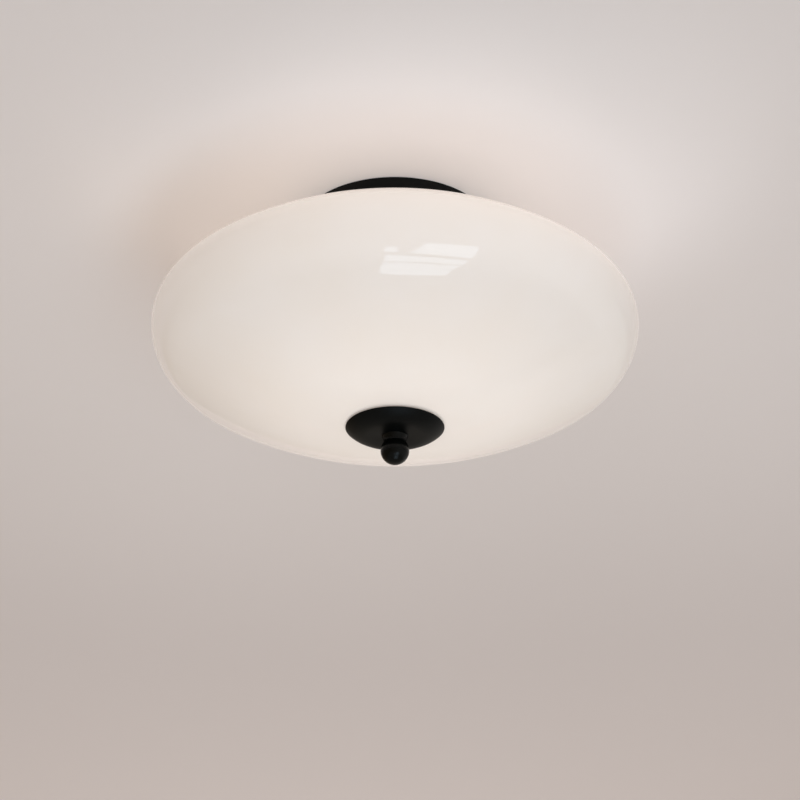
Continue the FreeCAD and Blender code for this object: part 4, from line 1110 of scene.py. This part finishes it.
def stageObject(name, mesh, material, *unseen):
    # makes a piece of the stage, and hides it from the kinds of ray that are named
    thing = meshObject(name, mesh)
    thing.data.materials.append(material)
    for ray in unseen:
        setattr(thing, "visible_" + ray, False)
    return thing


def plane(size, height):
    mesh = bmesh.new()
    bmesh.ops.create_grid(mesh, x_segments=1, y_segments=1, size=size / 2, matrix=at(0, 0, height))
    return mesh


def oneSided(material, tree, shader, output):
    # lets the back of a face be looked through
    side = addNode(tree, "NewGeometry")
    clear = addNode(tree, "BsdfTransparent")
    return shown(material, addNode(tree, "MixShader", links={
        0: (side, "Backfacing"), 1: (shader, output), 2: (clear, "BSDF")}), "Shader")


def ceilingPaint():
    # Matt emulsion on smooth plaster, seen only from below, so that views from above look in over it. The
    # wide soft glow that the bowl throws on it is painted in, so it stays smooth.
    material, tree = newMaterial("mattCeilingPaint")
    place = addNode(tree, "TexCoord")
    plaster = addNode(tree, "TexNoise", {"Scale": perMetre(stage["plaster"]), "Detail": 4.0},
                      {"Vector": (place, "Object")})
    bump = addNode(tree, "Bump", {"Distance": stage["plasterDepth"] * mm}, {"Height": (plaster, "Fac")})
    paint = addNode(tree, "BsdfDiffuse", {"Color": linear(stage["ceiling"])}, {"Normal": (bump, "Normal")})
    lit = (paint, "BSDF")
    for centre, near, far, strength, colour in glows:
        away = addNode(tree, "VectorMath", {1: centre}, {0: (place, "Object")}, operation="DISTANCE")
        fade = addNode(tree, "MapRange", {"From Min": far, "From Max": near, "To Max": strength},
                       {"Value": (away, "Value")}, interpolation_type="SMOOTHSTEP")
        glow = addNode(tree, "Emission", {"Color": linear(colour)}, {"Strength": (fade, "Result")})
        lit = (addNode(tree, "AddShader", links={0: lit, 1: (glow, "Emission")}), "Shader")
    return oneSided(material, tree, *lit)


def setCeilingAndFloor():
    ceiling = stageObject("ceiling", plane(stage["ceilingSize"], stage["ceilingGap"]), ceilingPaint(),
                          "shadow", "diffuse")
    ceiling.data.flip_normals()
    material, tree = newMaterial("paleFloor")
    paint = addNode(tree, "BsdfDiffuse", {"Color": linear(stage["floor"])})
    stageObject("floor", plane(stage["floorSize"], stage["floorLevel"]), shown(material, paint))


def setPanes():
    material, tree = newMaterial("paneLight")
    shine = addNode(tree, "Emission", {"Color": linear(panes["colour"]), "Strength": panes["strength"]})
    mesh = bmesh.new()
    for corners in panes["corners"]:
        mesh.faces.new([mesh.verts.new((x, y, panes["level"])) for x, y in reversed(corners)])
    stageObject("panes", mesh, oneSided(material, tree, shine, "Emission"), "camera", "shadow")


def setWalls():
    material, tree = newMaterial("roomWalls")
    place = addNode(tree, "TexCoord")
    parts = addNode(tree, "SeparateXYZ", links={"Vector": (place, "Object")})
    share = addNode(tree, "MapRange", {"From Min": -walls["span"], "From Max": walls["span"]},
                    {"Value": (parts, "X")})
    tone = addNode(tree, "Mix", {"A": linear(walls["left"]), "B": linear(walls["right"])},
                   {"Factor": (share, "Result")}, data_type="RGBA")
    shine = addNode(tree, "Emission", links={"Color": (tone, "Result")})
    mesh = bar((-walls["reach"], -walls["reach"], stage["floorLevel"]), (walls["reach"], walls["reach"], 0))
    bmesh.ops.delete(mesh, geom=[face for face in mesh.faces if round(face.normal.z)], context="FACES")
    stageObject("walls", mesh, shown(material, shine, "Emission"), "camera", "diffuse", "shadow")


def setLights():
    world = bpy.data.worlds.new("room")
    bpy.context.scene.world = world
    world.use_nodes = True
    air = next(node for node in world.node_tree.nodes if node.bl_idname == "ShaderNodeBackground")
    air.inputs["Color"].default_value = linear(stage["world"])
    air.inputs["Strength"].default_value = stage["worldStrength"]
    for name, (place, aim, size, power, colour, inGloss) in lights.items():
        data = bpy.data.lights.new(name, "AREA")
        data.size = size
        data.energy = power
        data.color = linear(colour)[:3]
        thing = newObject(name, data)
        thing.location = place
        thing.rotation_euler = (Vector(aim) - Vector(place)).to_track_quat("-Z", "Y").to_euler()
        thing.visible_camera = False
        thing.visible_glossy = inGloss


setCeilingAndFloor()
setPanes()
setWalls()
setLights()
bpy.context.scene.view_settings.view_transform = "Standard"
print("stage set")
